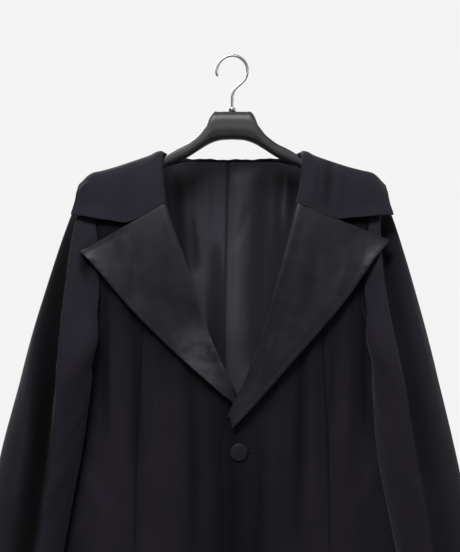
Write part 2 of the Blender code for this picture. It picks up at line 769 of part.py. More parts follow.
def collar_line(v, hand, front_turn, back_turn):
    """One line of the collar from its front edge over the shoulder to the middle of the back."""
    gorge_x = front_edge(hand, GORGE)
    notch_x, notch_drop = NOTCH_LEFT if hand > 0 else NOTCH_RIGHT
    notch_v = (notch_x - gorge_x) / (COLLAR_CORNER[0] - gorge_x)
    start_x = mix(gorge_x, COLLAR_CORNER[0], v)
    start_drop = np.interp(v, [0, notch_v, 1], [GORGE, notch_drop, COLLAR_CORNER[1]])
    cross_x = mix(NECK_POINT[0], COLLAR_TIP_X, v)
    x_front = mix(start_x, cross_x, front_turn)
    drop_front = collar_bed(x_front) + (start_drop - collar_bed(start_x)) * (1 - front_turn) ** 2
    turn = back_turn * math.pi / 2
    x_back = cross_x * np.cos(turn)
    end_drop = mix(NECK_BACK, COLLAR_BACK, v)
    drop_back = mix(collar_bed(cross_x), end_drop, np.sin(turn) ** mix(2.0, 1.15, v))
    side = np.concatenate([-np.ones(len(front_turn)), np.ones(len(back_turn))])
    return np.concatenate([x_front, x_back]), np.concatenate([drop_front, drop_back]), side


def collar_y(x, drop, side):
    """Y of what the collar lies on: the body, and past the shoulder tip the head of the sleeve."""
    below = np.maximum(drop - collar_bed(x), 0)
    turn = smooth_step(x, SLEEVE_HEAD_FROM, SLEEVE_HEAD_TO)
    radius = mix(SHOULDER_RADIUS, SLEEVE_HEAD_RADIUS, turn)
    full = np.where(side < 0, COLLAR_FRONT_DEPTH, COLLAR_BACK_DEPTH)
    depth = rounded_depth(below * mix(1, 0.45, turn), radius, full)
    return middle_y(x) + side * side_taper(x, COLLAR_HALF_WIDTH) * depth


def collar_half(hand, front, back, across_count, roll_steps):
    """Half of the collar: columns of its neck roll, then of its fall out to the outer edge."""
    edge, outward, along = neck_line(front, back)
    toward_open = unit(np.cross(along, outward))
    from_armhole = edge - points_at(ARMHOLE_FRONT[3][1], 0.0, ARMHOLE_FRONT[3][2])
    toward_open *= np.sign((toward_open * from_armhole).sum(axis=-1, keepdims=True))
    toward_open[-1, 0] = 0
    lines, roll_normals = roll_over(edge, unit(toward_open), outward, ROLL_RADIUS_TOP, roll_steps)
    front_turn = np.linspace(0, 1, 2 * GORGE_ROW + 1)
    back_turn = np.linspace(0, 1, len(edge) - len(front_turn) + 1)[1:]
    for v in np.linspace(0, 1, across_count + 1)[1:]:
        x, drop, side = collar_line(v, hand, front_turn, back_turn)
        lines.append(points_at(x, collar_y(x, drop, side), drop))
    return np.array(lines).transpose(1, 0, 2), np.array(roll_normals).transpose(1, 0, 2)


def fall_normals(sheet, roll_normals):
    """Normals of a sheet that starts with a roll, whose own are known."""
    rolled = roll_normals.shape[1]
    normals = grid_normals(sheet, np.zeros(3) + 1)
    normals *= np.sign((normals[:, rolled] * roll_normals[:, -1]).sum())
    normals[:, :rolled] = roll_normals
    return normals


def collar_sheet(front_left, front_right, back, tree, across_count=7, roll_steps=4):
    """Outer face of the collar, from the right gorge round the back to the left one."""
    mirror = np.array([-1, 1, 1])
    left = collar_half(1, front_left, back, across_count, roll_steps)
    flipped = [part * mirror for part in front_right[:2]]
    right = [part * mirror for part in collar_half(-1, flipped, back, across_count, roll_steps)]
    sheet, roll_normals = (np.concatenate([right[k][:-1], left[k][::-1]]) for k in (0, 1))
    rolled = roll_steps + 1
    clearance = np.zeros(sheet.shape[:2])
    clearance[:, rolled:] = COLLAR_REST + COLLAR_LIFT * smooth_step(np.linspace(0, 1, across_count), 0.4, 1.0)
    sheet = lie_clear(sheet, tree, clearance, fixed_columns=rolled)
    normals = fall_normals(sheet, roll_normals)
    return sheet + normals * COLLAR_WALL / 2, normals, False


def lapel_sheet(hand, front, tree, cols=8, roll_steps=4, rows=LAPEL_ROWS):
    """Outer face of a lapel: a half-round roll along the front's edge, then a fall out to its edge."""
    lapel_edge = LAPEL_EDGE_LEFT if hand > 0 else LAPEL_EDGE_RIGHT
    span = slice(GORGE_ROW, GORGE_ROW + rows)
    roll, outward = front[0][span, 0].copy(), front[1][span, 0]
    along = unit(np.gradient(front[0][:, 0], axis=0))[span]
    roll[0] += along[0] * SEAM_GAP
    roll_x, roll_drop = roll[:, 0] * hand, -roll[:, 2]
    down = (roll_drop - roll_drop[0]) / (roll_drop[-1] - roll_drop[0])
    edge_x, edge_drop = columns_of(smooth_table(lapel_edge, down * lapel_edge[-1][0]))
    edge_drop = edge_drop + SEAM_GAP
    toward_open = unit(np.cross(along, outward))
    toward_open *= -np.sign(toward_open[:, :1]) * hand
    radius = mix(ROLL_RADIUS_TOP, ROLL_RADIUS_BREAK, down)[:, None]
    columns, roll_normals = roll_over(roll, toward_open, outward, radius, roll_steps)
    for b in np.linspace(0, 1, cols + 1)[1:] ** 1.1:
        x = mix(roll_x, edge_x, b) * hand
        drop = mix(roll_drop, edge_drop, b)
        bed = points_at(x, body_y(x, drop, -1) + overlap_shift(x, drop, hand), drop)
        columns.append(bed + body_normal(x, drop, -1) * (2 * radius - SHELL / 2))
    grid = np.array(columns).transpose(1, 0, 2)
    rolled = roll_steps + 1
    clearance = np.full(grid.shape[:2], LAPEL_WALL / 2 + LAPEL_REST)
    clearance[:, rolled:] += LAPEL_LIFT * np.linspace(0, 1, cols) ** 1.5
    grid = lie_clear(grid, tree, clearance, fixed_columns=rolled)
    normals = fall_normals(grid, np.array(roll_normals).transpose(1, 0, 2))
    return grid + normals * LAPEL_WALL / 2, normals, False


def sweep(path, radii, sides):
    """Rings of points along a path in the XZ plane, one radius at each of its points."""
    along = unit(np.gradient(path, axis=0))
    across = np.cross(along, np.array([0.0, 1.0, 0.0]))
    turn = np.linspace(0, 2 * math.pi, sides, endpoint=False)
    return [
        point + radius * (np.outer(np.cos(turn), side) + np.outer(np.sin(turn), [0.0, 1.0, 0.0]))
        for point, side, radius in zip(path, across, radii)
    ]


def rings_object(name, rings, material_name):
    """A closed solid through rings of points, with a flat face at each end."""
    count = len(rings[0])
    points = np.concatenate(rings)
    faces = grid_faces(len(rings), count, True)
    faces += [tuple(range(count)), tuple(range((len(rings) - 1) * count, len(rings) * count))]
    return mesh_object(name, points, faces, material_name)


def build_hanger():
    table = np.array(HANGER)
    stations = np.concatenate([table[:0:-1] * [-1, 1, 1, 1], table])
    turn = np.linspace(0, 2 * math.pi, 16, endpoint=False)
    power = 2 / HANGER_SQUARENESS
    round_y = np.sign(np.cos(turn)) * np.abs(np.cos(turn)) ** power
    round_z = np.sign(np.sin(turn)) * np.abs(np.sin(turn)) ** power
    rings = []
    for x, top, bottom, half_depth in stations:
        drop = (top + bottom) / 2 - (bottom - top) / 2 * round_z
        rings.append(points_at(x, middle_y(x) + half_depth * round_y, drop))
    rings_object("hanger_body", rings, "hanger")


def build_hook():
    x, drop = np.array(HOOK_PATH).T
    path = points_at(x, 0.0, drop)
    seat = HANGER[0][1] - SEAM_GAP
    nut = points_at(0.0, 0.0, np.array([HOOK_NUT_TOP, HOOK_NUT_TOP + HOOK_NUT_BEVEL, seat]))
    path = np.concatenate([path, nut])
    radii = np.full(len(path), HOOK_WIRE)
    radii[0] = HOOK_WIRE * 0.7
    radii[-3:] = HOOK_NUT_RADIUS
    radii[-3] -= HOOK_NUT_BEVEL
    rings_object("hanger_hook", sweep(path, radii, 12), "steel")


def build_button():
    """A covered button: a shallow dome that stands just off the left front."""
    x, drop = BUTTON_X, BUTTON_DROP
    normal = body_normal(np.array(x), np.array(drop), -1)
    spot = np.array([x, body_y(np.array(x), np.array(drop), -1) + overlap_shift(x, drop, 1), -drop])
    across = unit(np.cross(normal, [0.0, 0.0, 1.0]))
    upward = np.cross(normal, across)
    turn = np.linspace(0, 2 * math.pi, 24, endpoint=False)
    circle = np.outer(np.cos(turn), across) + np.outer(np.sin(turn), upward)
    rings = [spot + normal * height + circle * BUTTON_RADIUS * part for part, height in BUTTON_PROFILE]
    rings_object("button", rings, "satin")


def main():
    clear_scene()
    front_left, front_right = front_sheet(1), front_sheet(-1)
    back = back_sheet()
    sleeve_left, sleeve_right = sleeve_sheet(1), sleeve_sheet(-1)
    wall("front_left", *front_left[:2], SHELL, "shell")
    wall("front_right", *front_right[:2], SHELL, "shell")
    wall("back", *back[:2], SHELL, "shell")
    wall("sleeve_left", *sleeve_left[:2], SHELL, "shell", ring=True)
    wall("sleeve_right", *sleeve_right[:2], SHELL, "shell", ring=True)
    for name, hand in (("lining_back_left", 1), ("lining_back_right", -1)):
        wall(name, *lining_sheet(hand)[:2], LINING_WALL, "lining")
    under = surface_tree([front_left, front_right, back, sleeve_left, sleeve_right])
    wall("collar", *collar_sheet(front_left, front_right, back, under)[:2], COLLAR_WALL, "shell")
    for name, hand, front, sleeve in (
        ("lapel_left", 1, front_left, sleeve_left),
        ("lapel_right", -1, front_right, sleeve_right),
    ):
        outer, normals, _ = lapel_sheet(hand, front, surface_tree([front, sleeve]))
        wall(name, outer, normals, LAPEL_WALL, "satin")
    build_hanger()
    build_hook()
    build_button()


main()
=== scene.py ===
"""Long open-collared jacket on a broad coat hanger: the cloth, its sewing and the finish of each surface.

Metres, +X to the wearer's left, +Y to the back, +Z up. "Drop" is the distance below the hook's inner top.
"""

import math

import bmesh
import bpy
import numpy as np
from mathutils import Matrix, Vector, noise
from mathutils.bvhtree import BVHTree


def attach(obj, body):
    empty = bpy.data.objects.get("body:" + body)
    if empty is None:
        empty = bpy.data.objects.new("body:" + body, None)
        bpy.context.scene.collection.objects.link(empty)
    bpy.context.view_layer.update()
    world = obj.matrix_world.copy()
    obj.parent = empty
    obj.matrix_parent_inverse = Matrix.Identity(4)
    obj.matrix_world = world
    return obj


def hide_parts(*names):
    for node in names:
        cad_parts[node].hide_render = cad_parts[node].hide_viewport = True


bl_info = {
    "name": "Long jacket on a hanger",
    "version": (1, 0, 0),
    "blender": (4, 5, 0),
    "location": "3D View > Sidebar > Jacket",
    "description": "Builds a black long jacket with satin lapels on its hanger, piece by piece",
    "category": "Object",
}

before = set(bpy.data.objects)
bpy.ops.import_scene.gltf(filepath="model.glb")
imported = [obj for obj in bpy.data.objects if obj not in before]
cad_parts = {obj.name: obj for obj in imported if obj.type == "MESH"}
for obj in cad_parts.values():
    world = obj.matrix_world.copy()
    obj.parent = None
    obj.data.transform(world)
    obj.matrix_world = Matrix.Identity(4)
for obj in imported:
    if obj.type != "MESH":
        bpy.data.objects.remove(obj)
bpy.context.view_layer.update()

# Cloth walls and seams.
SHELL = 0.0014
LAPEL_WALL = 0.0014
COLLAR_WALL = 0.0016
LINING_WALL = 0.0010
SEAM_GAP = 0.0003
LINING_GAP = 0.0012
LINING_GAP_LOW = 0.0045

# Shoulder line: a straight slope from the neck point, carried on the hanger's arms.
NECK_POINT = (0.0965, 0.134)
SHOULDER_SLOPE = 0.348
SHOULDER_RADIUS = 0.022
SWELL_DROP = 0.075
FORWARD_SWEEP = 0.25

# The body's flattened oval at each drop.
BODY = [
    # drop, half_width, front_depth, back_depth
    (0.100, 0.312, 0.060, 0.062),
    (0.250, 0.290, 0.060, 0.062),
    (0.330, 0.256, 0.060, 0.058),
    (0.388, 0.234, 0.058, 0.054),
    (0.510, 0.214, 0.052, 0.047),
    (0.640, 0.240, 0.056, 0.055),
    (0.930, 0.276, 0.064, 0.066),
]
SIDE_POWER = 2.6
UNDERARM = 0.388
HEM = 0.930

# Armhole seam, from the shoulder tip to the underarm.
ARMHOLE_FRONT = [
    # step, x, drop
    (0.0, 0.1960, 0.1686),
    (1.0, 0.1875, 0.1950),
    (2.0, 0.1795, 0.2310),
    (3.0, 0.1745, 0.2840),
    (4.0, 0.1735, 0.3252),
    (5.0, 0.1822, 0.3582),
    (6.0, 0.2037, 0.3800),
    (7.0, 0.2340, 0.3880),
]
ARMHOLE_BACK = [
    # step, x, drop
    (0.0, 0.1960, 0.1686),
    (1.0, 0.1910, 0.1950),
    (2.0, 0.1870, 0.2310),
    (3.0, 0.1845, 0.2840),
    (4.0, 0.1855, 0.3250),
    (5.0, 0.1940, 0.3580),
    (6.0, 0.2110, 0.3800),
    (7.0, 0.2340, 0.3880),
]

# Inner edge of each front: neckline, roll line of the lapel, then the front edge.
GORGE = 0.2055
FRONT_EDGE_LEFT = [
    # drop, x
    (0.1340, 0.0965),
    (0.1650, 0.0950),
    (0.2055, 0.0870),
    (0.2425, 0.0776),
    (0.3119, 0.0580),
    (0.3886, 0.0348),
    (0.4424, 0.0170),
    (0.4634, 0.0070),
    (0.4980, -0.0080),
    (0.5065, -0.0100),
    (0.6000, -0.0105),
    (0.9300, -0.0120),
]
FRONT_EDGE_RIGHT = [
    # drop, x
    (0.1340, 0.0965),
    (0.1650, 0.0955),
    (0.2055, 0.0900),
    (0.2889, 0.0612),
    (0.3618, 0.0378),
    (0.4078, 0.0203),
    (0.4461, 0.0030),
    (0.4800, -0.0130),
    (0.5065, -0.0240),
    (0.5300, -0.0270),
    (0.6000, -0.0275),
    (0.9300, -0.0290),
]

# Outer edge of each lapel, from its point down to the break.
LAPEL_EDGE_LEFT = [
    # step, x, drop
    (0.0, 0.2050, 0.2532),
    (1.0, 0.1857, 0.2772),
    (2.0, 0.1478, 0.3311),
    (3.0, 0.0905, 0.3955),
    (4.0, 0.0335, 0.4619),
    (5.0, 0.0089, 0.4885),
    (5.4, 0.0005, 0.4975),
]
LAPEL_EDGE_RIGHT = [
    # step, x, drop
    (0.0, 0.1984, 0.2689),
    (1.0, 0.1716, 0.2950),
    (2.0, 0.1298, 0.3440),
    (3.0, 0.0652, 0.4069),
    (4.0, 0.0113, 0.4562),
    (4.5, 0.0025, 0.4660),
]
NOTCH_LEFT = (0.1370, 0.2255)
NOTCH_RIGHT = (0.1360, 0.2312)
ROLL_RADIUS_TOP = 0.0026
ROLL_RADIUS_BREAK = 0.0014
LAPEL_REST = 0.0013
LAPEL_LIFT = 0.0022

# Collar: a wide flat collar from notch to notch round the back. The line that it lies on crosses
# from front to back: first the shoulder seam, then the head of the sleeve.
COLLAR_BED = [
    # x, drop
    (0.0000, 0.1004),
    (0.0965, 0.1340),
    (0.1870, 0.1655),
    (0.1980, 0.1684),
    (0.2035, 0.1745),
    (0.2090, 0.1890),
    (0.2135, 0.2050),
    (0.2175, 0.2200),
]
COLLAR_CORNER = (0.2085, 0.2215)
COLLAR_TIP_X = 0.2035
NECK_BACK = 0.1395
COLLAR_BACK = 0.2680
COLLAR_REST = 0.0032
COLLAR_LIFT = 0.0028
COLLAR_HALF_WIDTH = 0.300
COLLAR_FRONT_DEPTH, COLLAR_BACK_DEPTH = 0.060, 0.062
# Where the collar leaves the shoulder for the head of the sleeve, which turns over more gently.
SLEEVE_HEAD_FROM, SLEEVE_HEAD_TO = 0.190, 0.218
SLEEVE_HEAD_RADIUS = 0.036

# Sleeve rings below the cap: the tube's outline seen from the front, its middle and its depth.
SLEEVE_LEFT = [
    # drop, inner_x, outer_x, middle_y, half_depth
    (0.440, 0.180, 0.2750, -0.024, 0.072),
    (0.510, 0.184, 0.2910, -0.032, 0.064),
    (0.600, 0.202, 0.3090, -0.042, 0.058),
    (0.735, 0.230, 0.3210, -0.055, 0.051),
]
SLEEVE_RIGHT = [
    # drop, inner_x, outer_x, middle_y, half_depth
    (0.440, 0.180, 0.2820, -0.024, 0.072),
    (0.510, 0.192, 0.3020, -0.032, 0.064),
    (0.600, 0.210, 0.3170, -0.042, 0.058),
    (0.735, 0.234, 0.3250, -0.055, 0.051),
]
# Directions in which the cap leaves the top and the bottom of the armhole, and meets the first ring.
CAP_LEAVE = (0.12, -0.16, -0.08)
CAP_LOW_LEAVE = (0.22, -0.16, -0.90)
CAP_ARRIVE = (0.17, -0.05, -1.00)
CAP_END = 0.440
# Below the armhole's front the cap sags over the seam: where, how far down and up, inwards, forwards.
SLEEVE_SAG = (0.390, 0.034, 0.016, 0.007)
CUFF = 0.735
# The sleeve lies clear of the body's side between these drops and below.
SLEEVE_CLEAR = 0.0045
SLEEVE_CLEAR_FROM, SLEEVE_CLEAR_TO = 0.30, 0.37
# The fold down the front of each sleeve: its ridge, and how far the cloth drops just outside it.
SLEEVE_FOLD_RIGHT = [
    # drop, x, depth
    (0.2150, 0.2034, 0.0030),
    (0.2270, 0.2060, 0.0055),
    (0.2665, 0.2127, 0.0110),
    (0.3058, 0.2161, 0.0150),
    (0.3400, 0.2192, 0.0180),
    (0.3793, 0.2215, 0.0200),
    (0.4234, 0.2233, 0.0210),
    (0.4943, 0.2247, 0.0200),
    (0.6000, 0.2382, 0.0120),
    (0.7350, 0.2602, 0.0030),
]
SLEEVE_FOLD_LEFT = [
    # drop, x, depth
    (0.2150, 0.1943, 0.0080),
    (0.2642, 0.1948, 0.0140),
    (0.3051, 0.1959, 0.0150),
    (0.3396, 0.1996, 0.0135),
    (0.3690, 0.2041, 0.0115),
    (0.3984, 0.2091, 0.0105),
    (0.4355, 0.2153, 0.0105),
    (0.4675, 0.2200, 0.0105),
    (0.5400, 0.2308, 0.0080),
    (0.6200, 0.2448, 0.0050),
    (0.7350, 0.2638, 0.0020),
]
# Hollow in the front of each sleeve's head: x, drop, reach across, reach down, depth.
SLEEVE_DIMPLE_RIGHT = (0.1900, 0.2860, 0.0090, 0.0160, 0.0060)
SLEEVE_DIMPLE_LEFT = (0.2080, 0.2480, 0.0080, 0.0320, 0.0080)
FOLD_RISE, FOLD_RISE_WIDTH = 0.0024, 0.0110
FOLD_FALL = 0.0060
FOLD_BACK_FROM, FOLD_BACK_TO = 0.0130, 0.0420

# Soft folds of the body: each is a ridge from its start down to the hem.
FRONT_FOLDS = [
    # x_start, x_hem, start_drop, width, height
    (0.085, 0.100, 0.38, 0.014, 0.0035),
    (0.150, 0.175, 0.42, 0.016, 0.0040),
    (0.045, 0.050, 0.52, 0.016, 0.0040),
    (0.190, 0.232, 0.56, 0.014, 0.0050),
    (-0.085, -0.098, 0.38, 0.015, 0.0040),
    (-0.150, -0.180, 0.40, 0.016, 0.0035),
    (-0.055, -0.052, 0.50, 0.015, 0.0040),
    (-0.190, -0.235, 0.58, 0.014, 0.0050),
]
BACK_FOLDS = [
    # x_start, x_hem, start_drop, width, height
    (0.060, 0.075, 0.46, 0.020, 0.0050),
    (0.130, 0.165, 0.50, 0.020, 0.0060),
    (-0.055, -0.070, 0.48, 0.020, 0.0060),
    (-0.130, -0.160, 0.52, 0.020, 0.0050),
    (0.000, 0.003, 0.56, 0.016, 0.0040),
]
# Waist darts: the line of each dart and the depth that its seam pulls in.
DART = [
    # drop, x, depth
    (0.340, 0.1160, 0.0000),
    (0.400, 0.1190, 0.0022),
    (0.510, 0.1260, 0.0030),
    (0.600, 0.1270, 0.0018),
    (0.680, 0.1280, 0.0000),
]
DART_WIDTH = 0.007

# Overlap of the fronts at the middle.
OVER_FORWARD = 0.0030
UNDER_BACK = 0.0042
OVERLAP_REACH = 0.080
OVERLAP_FULL = 0.004
OVERLAP_FROM, OVERLAP_TO = 0.30, 0.44

# The lining behind the back: where its two halves meet, and how far it stops from the edges.
LINING_JOIN = [
    # drop, x
    (0.140, -0.0060),
    (0.300, -0.0095),
    (0.450, -0.0115),
    (0.900, -0.0110),
]
LINING_BELOW_NECK = -0.0004
LINING_BELOW_SHOULDER = 0.0130
LINING_MARGIN = 0.0120
LINING_HEM = 0.900

# Points along the armhole, the side seam and across the panels.
ARMHOLE_STEPS = [0, 0.05, 0.18, 0.5, 1.0, 1.7, 2.5, 3.3, 4.0, 4.7, 5.3, 5.8, 6.2, 6.5, 6.75, 6.9, 7.0]
FRONT_EDGE_DROPS = [
    *[0.1340, 0.1355, 0.1395, 0.1480, 0.1620, 0.1820],
    *[0.2055, 0.2310, 0.2570, 0.2820, 0.3050, 0.3250, 0.3420, 0.3560, 0.3680, 0.3780, 0.3880],
]
GORGE_ROW = 6
LOW_DROPS = [0.412, 0.436, 0.460, 0.484, 0.5065, 0.550, 0.610, 0.680, 0.760, 0.845, 0.930]
LAPEL_ROWS = 15
FRONT_COLUMNS = [0, 0.12, 0.26, 0.40, 0.54, 0.67, 0.78, 0.87, 0.94, 0.98, 0.995, 1.0]
BACK_COLUMNS = [0, 0.17, 0.30, 0.385, 0.445, 0.4923, 0.60, 0.72, 0.83, 0.91, 0.965, 0.99, 1.0]
NECK_COLUMN = 5

# Button at the waist.
BUTTON_X, BUTTON_DROP = 0.0085, 0.530
BUTTON_RADIUS = 0.0115
BUTTON_SHAPE = [
    # part of the radius, height off the cloth
    (0.001, 0.0007),
    (0.70, 0.0006),
    (0.88, 0.0008),
    (0.97, 0.0013),
    (1.00, 0.0020),
    (0.96, 0.0028),
    (0.85, 0.0034),
    (0.60, 0.0040),
    (0.30, 0.0044),
    (0.001, 0.0045),
]
BUTTON_SIDES, BUTTON_RINGS = 72, 40
BUTTON_GATHERS, BUTTON_GATHER = 18, 0.012
GATHER_AT, GATHER_WIDTH = 0.97, 0.05
HOLE_HALF_LENGTH, HOLE_HALF_WIDTH = 0.0125, 0.0011
HOLE_OFFSET, HOLE_THREAD = 0.0050, 0.00055
HOLE_STITCHES, HOLE_THREAD_SIDES, HOLE_ROUNDNESS, HOLE_TWIST = 96, 8, 0.8, 0.18

# Hanger: an arched arm that sweeps forward with the shoulders, here its left half, and a wire hook.
HANGER = [
    # x, top_drop, bottom_drop, half_depth
    (0.0000, 0.0755, 0.1128, 0.0175),
    (0.0180, 0.0757, 0.1142, 0.0178),
    (0.0270, 0.0770, 0.1170, 0.0180),
    (0.0312, 0.0835, 0.1188, 0.0180),
    (0.0345, 0.0924, 0.1205, 0.0178),
    (0.0395, 0.0996, 0.1235, 0.0174),
    (0.0445, 0.1062, 0.1265, 0.0170),
    (0.0528, 0.1136, 0.1320, 0.0162),
    (0.0610, 0.1194, 0.1370, 0.0154),
    (0.0725, 0.1251, 0.1425, 0.0146),
    (0.0856, 0.1326, 0.1480, 0.0138),
    (0.0980, 0.1425, 0.1535, 0.0134),
    (0.1250, 0.1500, 0.1625, 0.0132),
    (0.1550, 0.1585, 0.1710, 0.0128),
    (0.1750, 0.1650, 0.1775, 0.0118),
    (0.1860, 0.1694, 0.1800, 0.0095),
    (0.1895, 0.1722, 0.1775, 0.0055),
]
HANGER_SQUARENESS = 2.5
HOOK_WIRE = 0.0020
HOOK_PATH = [
    # x, drop of the wire's middle, from the tip over the rod to the neck
    (-0.0200, 0.0270),
    (-0.0212, 0.0220),
    (-0.0206, 0.0145),
    (-0.0174, 0.0072),
    (-0.0120, 0.0018),
    (-0.0062, -0.0011),
    (0.0000, -0.0020),
    (0.0062, -0.0011),
    (0.0120, 0.0018),
    (0.0174, 0.0072),
    (0.0206, 0.0145),
    (0.0208, 0.0215),
    (0.0186, 0.0285),
    (0.0140, 0.0345),
    (0.0082, 0.0395),
    (0.0030, 0.0450),
    (0.0004, 0.0520),
    (0.0000, 0.0600),
    (0.0000, 0.0696),
]
FERRULE = [
    # drop, radius of the turned foot of the hook
    (0.06995, 0.0020),
    (0.07000, 0.0040),
    (0.07020, 0.0046),
    (0.07060, 0.0050),
    (0.07170, 0.0050),
    (0.07190, 0.0045),
    (0.07215, 0.0045),
    (0.07235, 0.0050),
    (0.07480, 0.0050),
    (0.07520, 0.0046),
    (0.07520, 0.0001),
]
HOOK_RINGS, HOOK_SIDES = 150, 24
HANGER_SPACING, HANGER_SIDES = 0.0022, 56
BEAD, BEAD_AT, BEAD_WIDTH = 0.06, 0.80, 0.13

# Meshes are welded where their grids meet.
WELD = 0.000001

# Stage: the floor, the camera and where the soft lights stand, their sizes and share of the power.
FLOOR_RADIUS, FLOOR_SIDES = 2.3, 128
CAMERA_X, CAMERA_NEAR = -0.003, 0.05
LIT_POINT = (0.0, 0.0, -0.25)
LIGHTS = [
    ("key_light", (-0.35, -1.05, 0.95), (0.6, 0.5), 1.0),
    ("side_light", (1.9, -0.5, 0.5), (0.7, 1.0), 0.30),
    ("back_light", (-1.0, 2.1, 1.3), (1.2, 1.2), 1.5),
]
# The room is dimmer in front of the jacket, above it and below it.
ROOM_FRONT = 0.16
ROOM_LOW = 0.12
ROOM_EDGE = (0.30, 0.75)


def smooth_table(rows, at):
    """The other columns of a table at each value of its first, on a smooth curve through its rows."""
    rows = np.array(rows, float)
    keys, values = rows[:, 0], rows[:, 1:]
    slopes = np.gradient(values, keys, axis=0)
    at = np.clip(np.asarray(at, float), keys[0], keys[-1])
    low = np.clip(np.searchsorted(keys, at, side="right") - 1, 0, len(keys) - 2)
    span = keys[low + 1] - keys[low]
    t = ((at - keys[low]) / span)[..., None]
    leave, arrive = span[..., None] * slopes[low], span[..., None] * slopes[low + 1]
    return hermite(t, values[low], leave, values[low + 1], arrive)


def hermite(t, start, leave, end, arrive):
    """A smooth curve from start to end, with its directions at both."""
    return (
        (2 * t**3 - 3 * t**2 + 1) * start
        + (t**3 - 2 * t**2 + t) * leave
        + (3 * t**2 - 2 * t**3) * end
        + (t**3 - t**2) * arrive
    )


def columns_of(table):
    """The columns of a looked-up table as separate arrays."""
    return np.moveaxis(table, -1, 0)


def smooth_step(value, start, end):
    t = np.clip((value - start) / (end - start), 0, 1)
    return t * t * (3 - 2 * t)


def bell(distance, width):
    return np.exp(-((distance / width) ** 2))


def mix(a, b, t):
    return a + (b - a) * t


def unit(vectors):
    return vectors / np.maximum(np.linalg.norm(vectors, axis=-1, keepdims=True), 1e-12)


def points_at(x, y, drop):
    return np.stack(np.broadcast_arrays(x, y, -np.asarray(drop)), axis=-1)


def shoulder_drop(x):
    """Drop of the shoulder line, whose slope runs on towards the middle under the open neck."""
    return NECK_POINT[1] + (np.abs(x) - NECK_POINT[0]) * SHOULDER_SLOPE


def back_neck_drop(x):
    """The back neckline: nearly level, and up to the neck points at its ends."""
    return mix(NECK_BACK, NECK_POINT[1], np.clip(np.abs(x) / NECK_POINT[0], 0, 1) ** 8)


def back_top_drop(x):
    """Top edge of the back: its neckline, then the shoulder line."""
    return np.maximum(shoulder_drop(x), back_neck_drop(x))


def middle_y(x):
    """The shoulder line and the side seams sweep forward away from the middle."""
    return -FORWARD_SWEEP * x * x


def dart_groove(x, drop):
    line, depth = columns_of(smooth_table(DART, drop))
    inside = (drop > DART[0][0]) & (drop < DART[-1][0])
    return np.where(inside, depth * bell(np.abs(x) - line, DART_WIDTH), 0.0)


def fold_height(x, drop, folds):
    """Height of the soft folds: each grows from its start to the hem."""
    total = np.zeros(np.broadcast(x, drop).shape)
    for x_start, x_hem, start, width, height in folds:
        run = np.clip((drop - start) / (HEM - start), 0, 1)
        away = x - mix(x_start, x_hem, run)
        total = total + height * smooth_step(run, 0, 0.45) * bell(away, width * (1 + 0.6 * run))
    return total


def rounded_depth(below, radius, full):
    """Depth of cloth that turns over a rounded edge and then swells out to its full depth."""
    bend = np.clip(below / radius, 0, 1)
    return radius * np.sqrt(1 - (1 - bend) ** 2) + (full - radius) * (1 - np.exp(-below / SWELL_DROP))


def side_taper(x, half_width):
    return np.sqrt(np.clip(1 - np.clip(np.abs(x) / half_width, 0, 1) ** SIDE_POWER, 0, 1))


def body_y(x, drop, side):
    """Y of the body's outer face. side is -1 on the front and +1 on the back."""
    below = np.maximum(drop - shoulder_drop(x), 0)
    half_width, front, back = columns_of(smooth_table(BODY, drop))
    depth = rounded_depth(below, SHOULDER_RADIUS, front if side < 0 else back)
    depth = depth + fold_height(x, drop, FRONT_FOLDS if side < 0 else BACK_FOLDS)
    if side < 0:
        depth = depth - dart_groove(x, drop)
    return middle_y(x) + side * side_taper(x, half_width) * depth


def body_normal(x, drop, side, step=0.0004):
    """The outward direction of the body's outer face."""
    inward = np.where(x < 0, 1.0, -1.0) * step
    here = points_at(x, body_y(x, drop, side), drop)
    beside = points_at(x + inward, body_y(x + inward, drop, side), drop)
    beneath = points_at(x, body_y(x, drop + step, side), drop + step)
    normal = unit(np.cross(beside - here, beneath - here))
    return normal * np.sign(normal[..., 1:2]) * side


def in_seam_plane(normals):
    """Directions at a seam between front and back, which must not lean to either side."""
    return unit(normals * np.array([1.0, 0.0, 1.0]))


def overlap_shift(x, drop, hand):
    """The left front is carried forward and the right one back where they cross."""
    deep = smooth_step(drop, OVERLAP_FROM, OVERLAP_TO)
    toward_middle = smooth_step(-hand * x, -OVERLAP_REACH, -OVERLAP_FULL)
    return deep * toward_middle * (-OVER_FORWARD if hand > 0 else UNDER_BACK)


def grid_normals(grid, outward, ring=False):
    """Unit normals of a grid of points. outward is a direction that they roughly follow."""
    down = np.gradient(grid, axis=0)
    if ring:
        across = np.roll(grid, -1, axis=1) - np.roll(grid, 1, axis=1)
    else:
        across = np.gradient(grid, axis=1)
    normals = unit(np.cross(across, down))
    return normals * np.sign((normals * outward).sum())


def grid_faces(rows, cols, ring):
    """Triangles over a grid of points, all split the same way."""
    faces = []
    for r in range(rows - 1):
        for c in range(cols if ring else cols - 1):
            a, b = r * cols + c, r * cols + (c + 1) % cols
            faces += [(a, b, b + cols), (a, b + cols, a + cols)]
    return faces


def surface_tree(sheets):
    """One search tree over the outer faces of several (outer, normals, ring) sheets."""
    points, faces = [], []
    for outer, normals, ring in sheets:
        start = len(points)
        rows, cols = outer.shape[:2]
        flat, flat_normals = outer.reshape(-1, 3), normals.reshape(-1, 3)
        points += [Vector(p) for p in flat]
        for face in grid_faces(rows, cols, ring):
            a, b, c = (flat[i] for i in face[:3])
            agrees = np.cross(b - a, c - a).dot(flat_normals[list(face)].sum(axis=0)) > 0
            faces.append(tuple(start + i for i in (face if agrees else reversed(face))))
    return BVHTree.FromPolygons(points, faces)


